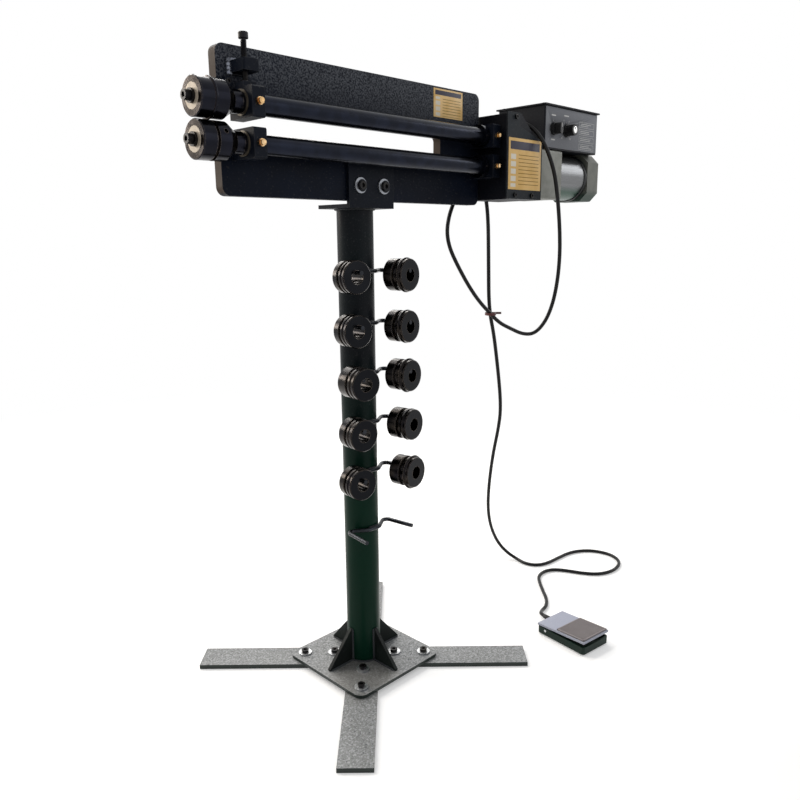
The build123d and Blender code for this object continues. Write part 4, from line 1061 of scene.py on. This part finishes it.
@dataclass
class ControlBox(SubAssembly):
    """The sheet-metal box with its printed front, the direction switch and the speed knob."""

    left: float = 374.0
    right: float = 552.0
    bottom: float = 929.5
    top: float = 1001.0
    front: float = -110.0
    face: float = -111.0
    switch_x: float = 399.0
    switch_sweep: float = 100.0
    knob_x: float = 442.0
    knob_sweep: float = 270.0
    dial_z: float = 963.0
    knob_tip: float = -131.0
    switch_tip: float = -130.0
    ink_out: float = 0.12
    ink_sunk: float = 0.05
    tick_half: float = 0.35
    rule_half: float = 0.25
    line_half: float = 0.5
    caption_half: float = 1.1
    number_r: float = 19.6
    number_high: float = 5.0
    rules: tuple[float, float] = (488.0, 541.0)
    rule_top: float = 20.5
    rule_pitch: float = 13.5
    rule_high: float = 9.6

    def build(self) -> None:
        """Coat the box and add the panel, its print and the marks on the knobs."""
        # The box's coat is set dark as painted shade.
        self.coat(SHADED_BOX_COAT, "control_box", "control_lid")
        self.coat(BOARD, "control_board")
        self.coat(BLACK_ABS, "direction_switch", "speed_knob")
        self.fit(self.panel(), PANEL_COAT, Slot.BOX)
        self.fit(self.dial_marks(), WHITE_INK, Slot.PLASTIC)
        self.fit(self.numbers(), WHITE_INK, Slot.PLASTIC)
        self.fit(self.ruled_block(), WHITE_INK, Slot.PLASTIC)
        self.fit(self.cap(), KNOB_CAP, Slot.ZINC, "knob")
        line = slab("knob_line", (self.knob_x - 0.6, self.knob_tip - 0.9, self.dial_z + 1.2),
                    (self.knob_x + 0.6, self.knob_tip - 0.4, self.dial_z + 4.6), 0.15)
        self.fit(line, BLACK_ABS, Slot.PLASTIC, "knob")
        mark = slab("switch_line", (self.switch_x - 0.7, self.switch_tip - 0.3, self.dial_z + 1.5),
                    (self.switch_x + 0.7, self.switch_tip + 0.1, self.dial_z + 8.5), 0.15)
        self.fit(mark, WHITE_INK, Slot.PLASTIC, "switch_handle")

    def panel(self) -> Object:
        """The front plate, cut for the two spindles."""
        low, high = (self.left, self.face, self.bottom), (self.right, self.front, self.top)
        plate = slab("front_panel", low, high, 0.3)
        for x, r in ((self.switch_x, 5.0), (self.knob_x, 4.0)):
            way = upright((x, self.front + 1, self.dial_z), Way.FRONT.value)
            cut(plate, turned("panel_hole", [(r, -2), (r, 6)], way, 32))
        return plate

    def ink(self, left: float, right: float, bottom: float, top: float) -> Object:
        """One printed patch on the panel."""
        out, sunk = self.face - self.ink_out, self.face + self.ink_sunk
        return slab("ink", (left, out, bottom), (right, sunk, top), 0.04, 1)

    def ticks(self, x: float, radius: float, length: float, count: int, sweep: float) -> Object:
        """Printed ticks round a dial.

        Args:
            x: The dial's centre along X.
            radius: Where the ticks begin.
            length: How long each one is.
            count: How many there are.
            sweep: The angle from the first to the last.

        Returns:
            The ticks as one piece.
        """
        low = self.dial_z + radius
        first = self.ink(x - self.tick_half, x + self.tick_half, low, low + length)
        hub = at(x, 0, self.dial_z)
        settle(first, hub @ Matrix.Rotation(math.radians(-sweep / 2), 4, "Y") @ hub.inverted())
        return ring_of(first, count, (x, 0, self.dial_z), Way.BACK.value, -sweep)

    def dial_marks(self) -> Object:
        """Ticks round the speed knob, and three marks for the direction switch."""
        return join("dial_ticks", [
            self.ticks(self.knob_x, 13.6, 2.6, 11, self.knob_sweep),
            self.ticks(self.switch_x, 13.0, 3.5, 3, self.switch_sweep),
        ])

    def numbers(self) -> Object:
        """Plain numbers round the speed knob."""
        words = ("0", "2", "4", "6", "8", "10")
        made = []
        for i, word in enumerate(words):
            angle = math.radians(self.knob_sweep * (i / (len(words) - 1) - 0.5))
            bpy.ops.object.select_all(action="DESELECT")
            bpy.ops.object.text_add(location=(0, 0, 0))
            letter = bpy.context.object
            letter.data.body = word
            letter.data.size = self.number_high * MM
            letter.data.extrude = 0.08 * MM
            letter.data.align_x = "CENTER"
            letter.data.align_y = "CENTER"
            bpy.ops.object.convert(target="MESH")
            x = self.knob_x + self.number_r * math.sin(angle)
            z = self.dial_z + self.number_r * math.cos(angle)
            up = Matrix.Rotation(math.pi / 2, 4, "X")
            made.append(settle(bpy.context.object, at(x, self.face - 0.05, z) @ up))
        return join("dial_numbers", made)

    def ruled_block(self) -> Object:
        """The print on the panel: four blank frames with ruled lines, and a bare bar by each dial."""
        made = []
        left, right = self.rules
        half = self.rule_half
        for row in range(4):
            z = self.dial_z + self.rule_top - row * self.rule_pitch
            for edge in (z, z - self.rule_high):
                made.append(self.ink(left, right, edge - half, edge + half))
            for x in (left, right):
                made.append(self.ink(x - half, x + half, z - self.rule_high - 0.2, z + half))
            for line, reach in ((z - 3.2, 530 - 6 * (row % 2)), (z - 6.4, 520 + 5 * row)):
                made.append(self.ink(left + 4, reach, line - self.line_half, line + self.line_half))
        tall = self.caption_half
        switch, knob = self.switch_x, self.knob_x
        for x, up, wide in ((switch, 24.0, 7.0), (switch, -19.0, 6.0), (knob, 26.5, 8.0)):
            z = self.dial_z + up
            made.append(self.ink(x - wide, x + wide, z - tall, z + tall))
        return join("panel_rules", made)

    def cap(self) -> Object:
        """The bright cap on the speed knob."""
        outline = [(5.6, -0.4), (6.2, 0.0), (6.2, 0.5), (5.7, 0.8), (4.9, 0.8), (4.6, 0.5), (0.3, 0.5)]
        place = upright((self.knob_x, self.knob_tip, self.dial_z), Way.FRONT.value)
        return turned("knob_cap", outline, place, 64)


@dataclass
class FootPedal(SubAssembly):
    """The foot switch: a moulded base, a pale treadle and a ribbed mat."""

    place: tuple[float, float] = (332.0, -238.0)
    turn: float = -7.0
    width: float = 74.0
    length: float = 112.0
    rear_z: float = 22.0
    front_z: float = 29.0
    pad_split: float = 46.0
    margin: float = 2.0
    rim: float = 3.0
    rib_pitch: float = 3.0
    rib_wide: float = 1.6
    rib_inset: float = 5.0

    def build(self) -> None:
        """Coat the pedal and lay the ribbed mat."""
        self.coat(PEDAL_ABS, "pedal_base")
        self.coat(ZINC, "pedal_pin")
        self.coat(TREADLE_COAT, "pedal_treadle")
        self.coat(PAD_RUBBER, "pedal_pad")
        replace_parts(self.fit(self.mat(), PAD_RUBBER, Slot.RUBBER, "treadle"), "pedal_pad")

    def mat(self) -> Object:
        """The mat: a thin sheet with a raised border and ribs across it."""
        half = self.width / 2 - self.margin
        start = self.length / 2 - self.pad_split
        end = -self.length / 2 + self.margin
        parts = [slab("mat_sheet", (-half, end, 0.0), (half, start, 1.9), 0.4)]
        for y in (end, start - self.rim):
            parts.append(slab("mat_rim", (-half, y, 0.5), (half, y + self.rim, 3.0), 0.5))
        for x in (-half, half - self.rim):
            parts.append(slab("mat_rim", (x, end, 0.5), (x + self.rim, start, 3.0), 0.5))
        inner, first = half - 4.5, end + self.rib_inset
        rib = slab("mat_rib", (-inner, first, 1.0), (inner, first + self.rib_wide, 2.7), 0.45)
        count = int((start - end - 2 * self.rib_inset) / self.rib_pitch) + 1
        parts.append(repeat(rib, count, Vector((0, self.rib_pitch, 0)) * MM))
        slope = math.atan2(self.rear_z - self.front_z, self.length)
        tilt = Matrix.Rotation(math.radians(self.turn), 4, "Z") @ Matrix.Rotation(slope, 4, "X")
        return settle(join("pedal_mat", parts), at(*self.place, (self.rear_z + self.front_z) / 2) @ tilt)


@dataclass
class PedalLead(SubAssembly):
    """The lead from the control box to the pedal, with its gland, its boot and its tie."""

    radius: float = 3.75
    length: float = 2732.0
    floor_z: float = 3.95
    tie: Point = (343.4, -14.7, 618.0)
    tie_turn: float = 46.5
    tie_r: float = 9.8
    tie_wide: float = 5.0
    gland: Point = (360.0, -40.0, 977.0)
    pedal_end: Point = (347.7384, -175.4485, 11.0)
    pedal_turn: float = -7.0
    straight: float = 24.0

    def route(self) -> list[Point]:
        """The points that the lead follows, from the control box to the pedal."""
        floor = self.floor_z
        return [
            self.gland,
            (339, -40, 977), (328, -55, 976), (331, -82, 973), (343, -106, 960), (354, -121, 936),
            (366, -128, 909), (382, -129, 879), (393, -128, 847), (405, -125, 814), (419, -120, 776),
            (433, -113, 731), (444, -103, 684), (449, -91, 637), (445, -77, 598), (430, -61, 573),
            (407, -47, 574), (384, -36, 586), (359, -26, 599), (337, -18, 620), (314, -8, 645),
            (289, -2, 676), (263, 3, 714), (242, 6, 748), (236, 8, 777), (243, 9, 806), (257, 9, 832),
            (270, 9, 860), (284, 9, 884), (306, 9, 894), (328, 8, 884), (342, 6, 860), (349, 3, 830),
            (349, -1, 790), (346, -5, 740), (344, -8, 690), (343, -10, 650), (347, -11, 615),
            (362, -9, 577), (376, -6, 531), (391, -2, 480), (406, 4, 434), (418, 12, 394), (427, 25, 352),
            (436, 42, 303), (447, 58, 251), (460, 73, 199), (474, 85, 152), (489, 92, 110), (508, 94, 70),
            (528, 90, 36), (543, 74, 13), (547, 50, 4.5), (540, 24, floor), (548, -2, floor),
            (574, -16, floor), (620, -18, floor), (668, -21, floor), (704, -40, floor), (723, -70, floor),
            (726, -106, floor), (704, -138, floor), (664, -150, floor), (629, -145, floor),
            (604, -129, floor), (587, -102, floor), (574, -69, floor), (558, -44, floor), (532, -35, floor),
            (502, -42, floor), (476, -65, floor), (450, -91, floor), (424, -118, floor), (398, -134, floor),
            (374, -138, 4.5), self.before_pedal(), self.pedal_end,
        ]

    def into_pedal(self) -> Vector:
        """The direction in which the lead enters the pedal."""
        turn = math.radians(self.pedal_turn)
        return Vector((math.sin(turn), -math.cos(turn), 0))

    def before_pedal(self) -> Point:
        """A point straight behind the pedal's gland."""
        return tuple(Vector(self.pedal_end) - self.straight * self.into_pedal())

    def build(self) -> None:
        """Lay the lead and fit the pieces on it."""
        self.coat(JACKET, "pedal_lead")
        self.coat(BLACK_ABS, "lead_fittings")
        lead = self.fit(self.lay(), JACKET, Slot.LEAD)
        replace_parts(lead, "pedal_lead")
        pieces = [
            self.fit(self.box_gland(), BLACK_ABS, Slot.PLASTIC),
            self.fit(self.boot(), BLACK_ABS, Slot.PLASTIC),
            self.fit(self.tie_ring(), TIE_NYLON, Slot.PLASTIC),
        ]
        for piece in pieces:
            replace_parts(piece, "lead_fittings")

    def lay(self) -> Object:
        """The lead as one smooth curve with a round section."""
        data = bpy.data.curves.new("pedal_lead_jacket", "CURVE")
        data.dimensions = "3D"
        spline = data.splines.new("NURBS")
        points = self.route()
        spline.points.add(len(points) - 1)
        for knot, point in zip(spline.points, points):
            knot.co = (*(Vector(point) * MM), 1.0)
        spline.order_u = 3
        spline.use_endpoint_u = True
        spline.resolution_u = 6
        data.bevel_depth = self.radius * MM
        data.bevel_resolution = 4
        data.use_fill_caps = True
        lead = bpy.data.objects.new("pedal_lead_jacket", data)
        bpy.context.scene.collection.objects.link(lead)
        return lead

    def box_gland(self) -> Object:
        """The gland on the control box: a hexagon nut, a dome and a tapered rubber lip."""
        way = upright(self.gland, Way.RIGHT.value)
        nut = turned("gland_nut", [(8.6, 6.5), (9.2, 7.0), (9.2, 11.6), (8.6, 12.0)], way, 6)
        dome = turned("gland_dome", [
            (4.2, -9.0), (4.6, -9.0), (5.0, -4.0), (5.6, 0.0), (7.0, 1.6), (7.8, 3.6), (8.0, 6.8),
        ], way)
        return join("box_gland", [nut, dome])

    def boot(self) -> Object:
        """The tapered strain relief on the pedal, with grooves round it."""
        outline = [(4.05, -14.0)]
        for i in range(5):
            rib, start = 4.25 + 0.12 * i, -13.6 + 2.8 * i
            groove = rib - 0.35
            outline += [(rib, start), (rib + 0.2, start + 1.6), (groove, start + 1.9), (groove, start + 2.6)]
        outline += [(5.0, 0.0), (5.0, 8.0)]
        return turned("pedal_boot", outline, upright(self.pedal_end, self.into_pedal()))

    def tie_ring(self) -> Object:
        """The nylon tie round the two runs of the lead, with its lock and its cut tail."""
        band = add_piece(bpy.ops.mesh.primitive_cylinder_add, "tie_band", vertices=48,
                         radius=self.tie_r * MM, depth=self.tie_wide * MM, end_fill_type="NOTHING")
        settle(band, Matrix.Diagonal((1.35, 1.0, 1.0, 1.0)))
        modify(band, "SOLIDIFY", thickness=1.3 * MM, offset=1.0)
        lock = slab("tie_lock", (12.6, -4.0, -3.5), (18.0, 4.0, 3.5), 0.8)
        tail = slab("tie_tail", (14.0, -24.0, -2.2), (15.3, -3.0, 2.2), 0.4)
        edit(tail)
        bpy.ops.mesh.subdivide(number_cuts=4)
        leave(tail)
        place = at(*self.tie) @ Matrix.Rotation(math.radians(self.tie_turn), 4, "Z")
        return settle(join("lead_tie", [band, lock, tail]), place)


@dataclass
class Studio:
    """The pale floor, the soft light and the camera of the photograph."""

    eye: Point = (-825.6, -925.9, 766.7)
    heading: float = 45.0
    pitch: float = 12.39
    roll: float = 0.54
    focal_px: float = 735.62
    frame_px: float = 800.0
    sensor: float = 36.0
    middle: Point = (0.0, 0.0, 550.0)
    fill: float = 0.5
    bounce: float = 0.5
    tone: float = 0.9
    lift: float = 0.27
    near: float = 0.9
    far: float = 2.6
    floor_size: float = 60.0
    floor_z: float = -0.4
    clip: float = 0.05

    def build(self) -> None:
        """Set the stage."""
        self.floor()
        self.light()
        self.camera()
        bpy.context.scene.view_settings.view_transform = "Standard"

    def floor(self) -> None:
        """A plain pale floor that keeps the shadow near the object and is white further off."""
        ground = add_piece(bpy.ops.mesh.primitive_plane_add, "studio_floor", size=self.floor_size,
                           location=(0, 0, self.floor_z * MM))
        made = bpy.data.materials.new("pale studio floor")
        made.use_nodes = True
        net = NodeNet(made.node_tree)
        net.feed("Roughness", 0.9)
        net.feed("Specular IOR Level", 0.0)
        net.feed("Emission Color", (1, 1, 1, 1))
        shown = self.shown(net)
        away = net.measure("LENGTH", net.place)
        pale, lift = (
            net.add("ShaderNodeMapRange", {
                "Value": away, "From Min": self.near, "From Max": self.far, "To Min": first, "To Max": last,
            }, interpolation_type="SMOOTHSTEP").outputs["Result"]
            for first, last in ((self.tone, 0.0), (self.lift, 1.0))
        )
        net.paint(net.add("ShaderNodeMix", {0: shown, 2: self.bounce, 3: pale}).outputs[0])
        net.feed("Emission Strength", net.times(shown, lift))
        ground.data.materials.append(made)

    def shown(self, net: NodeNet) -> Socket:
        """1 for what the camera sees, directly or by mirror or glass, 0 for what only lights the object."""
        path = net.add("ShaderNodeLightPath").outputs
        seen = net.math("MAXIMUM", path["Is Camera Ray"], path["Is Glossy Ray"])
        return net.math("MAXIMUM", seen, path["Is Transmission Ray"])

    def light(self) -> None:
        """An even white surround, strips high behind and behind on the left, soft boxes right and front."""
        world = bpy.data.worlds.new("studio")
        bpy.context.scene.world = world
        world.use_nodes = True
        net = NodeNet(world.node_tree, "Background")
        net.feed("Color", (1, 1, 1, 1))
        level = net.add("ShaderNodeMapRange", {"Value": self.shown(net), "To Min": self.fill, "To Max": 1.0})
        net.feed("Strength", level.outputs["Result"])
        for name, watts, wide, tall, tint, place in (
            ("key", 50.0, 5.2, 0.4, (1.0, 0.96, 0.9), (300.0, 2900.0, 2950.0)),
            ("left", 60.0, 0.7, 1.8, (1.0, 0.92, 0.82), (-1570.0, 3430.0, 1835.0)),
            ("right", 23.0, 1.6, 1.6, (0.97, 0.98, 1.0), (3850.0, -1600.0, 2400.0)),
            ("top", 75.0, 5.2, 0.4, (1.0, 0.97, 0.93), (400.0, 2200.0, 3950.0)),
            ("front", 15.0, 2.5, 2.5, (0.97, 0.98, 1.0), (900.0, -3600.0, 1900.0)),
        ):
            lamp = bpy.data.lights.new(name, "AREA")
            lamp.shape = "RECTANGLE"
            lamp.energy = watts
            lamp.color = tint
            lamp.size = wide
            lamp.size_y = tall
            holder = bpy.data.objects.new(name, lamp)
            aim = Vector(self.middle) - Vector(place)
            turn = Vector((0, 0, -1)).rotation_difference(aim).to_matrix().to_4x4()
            holder.matrix_world = at(*place) @ turn
            bpy.context.scene.collection.objects.link(holder)

    def camera(self) -> None:
        """The camera, placed and turned as fitted to the photograph."""
        data = bpy.data.cameras.new("camera")
        data.sensor_width = self.sensor
        data.lens = self.focal_px / self.frame_px * self.sensor
        data.clip_start = self.clip
        holder = bpy.data.objects.new("camera", data)
        bpy.context.scene.collection.objects.link(holder)
        head, dip = math.radians(self.heading), math.radians(self.pitch)
        forward = Vector((math.cos(dip) * math.cos(head), math.cos(dip) * math.sin(head), -math.sin(dip)))
        right = Vector((math.sin(head), -math.cos(head), 0))
        up = right.cross(forward)
        turn = Matrix((right, up, -forward)).transposed().to_4x4()
        spin = Matrix.Rotation(-math.radians(self.roll), 4, "Z")
        holder.matrix_world = at(*self.eye) @ turn @ spin
        bpy.context.scene.camera = holder


def main() -> None:
    """Build every sub-assembly, then the studio."""
    logging.basicConfig(level=logging.INFO)
    for group in (FootStand(), DieRack(), RollHead(), Drive(), ControlBox(), FootPedal(), PedalLead()):
        LOG.info("building %s", type(group).__name__)
        group.build()
    Studio().build()


if __name__ == "__main__":
    main()
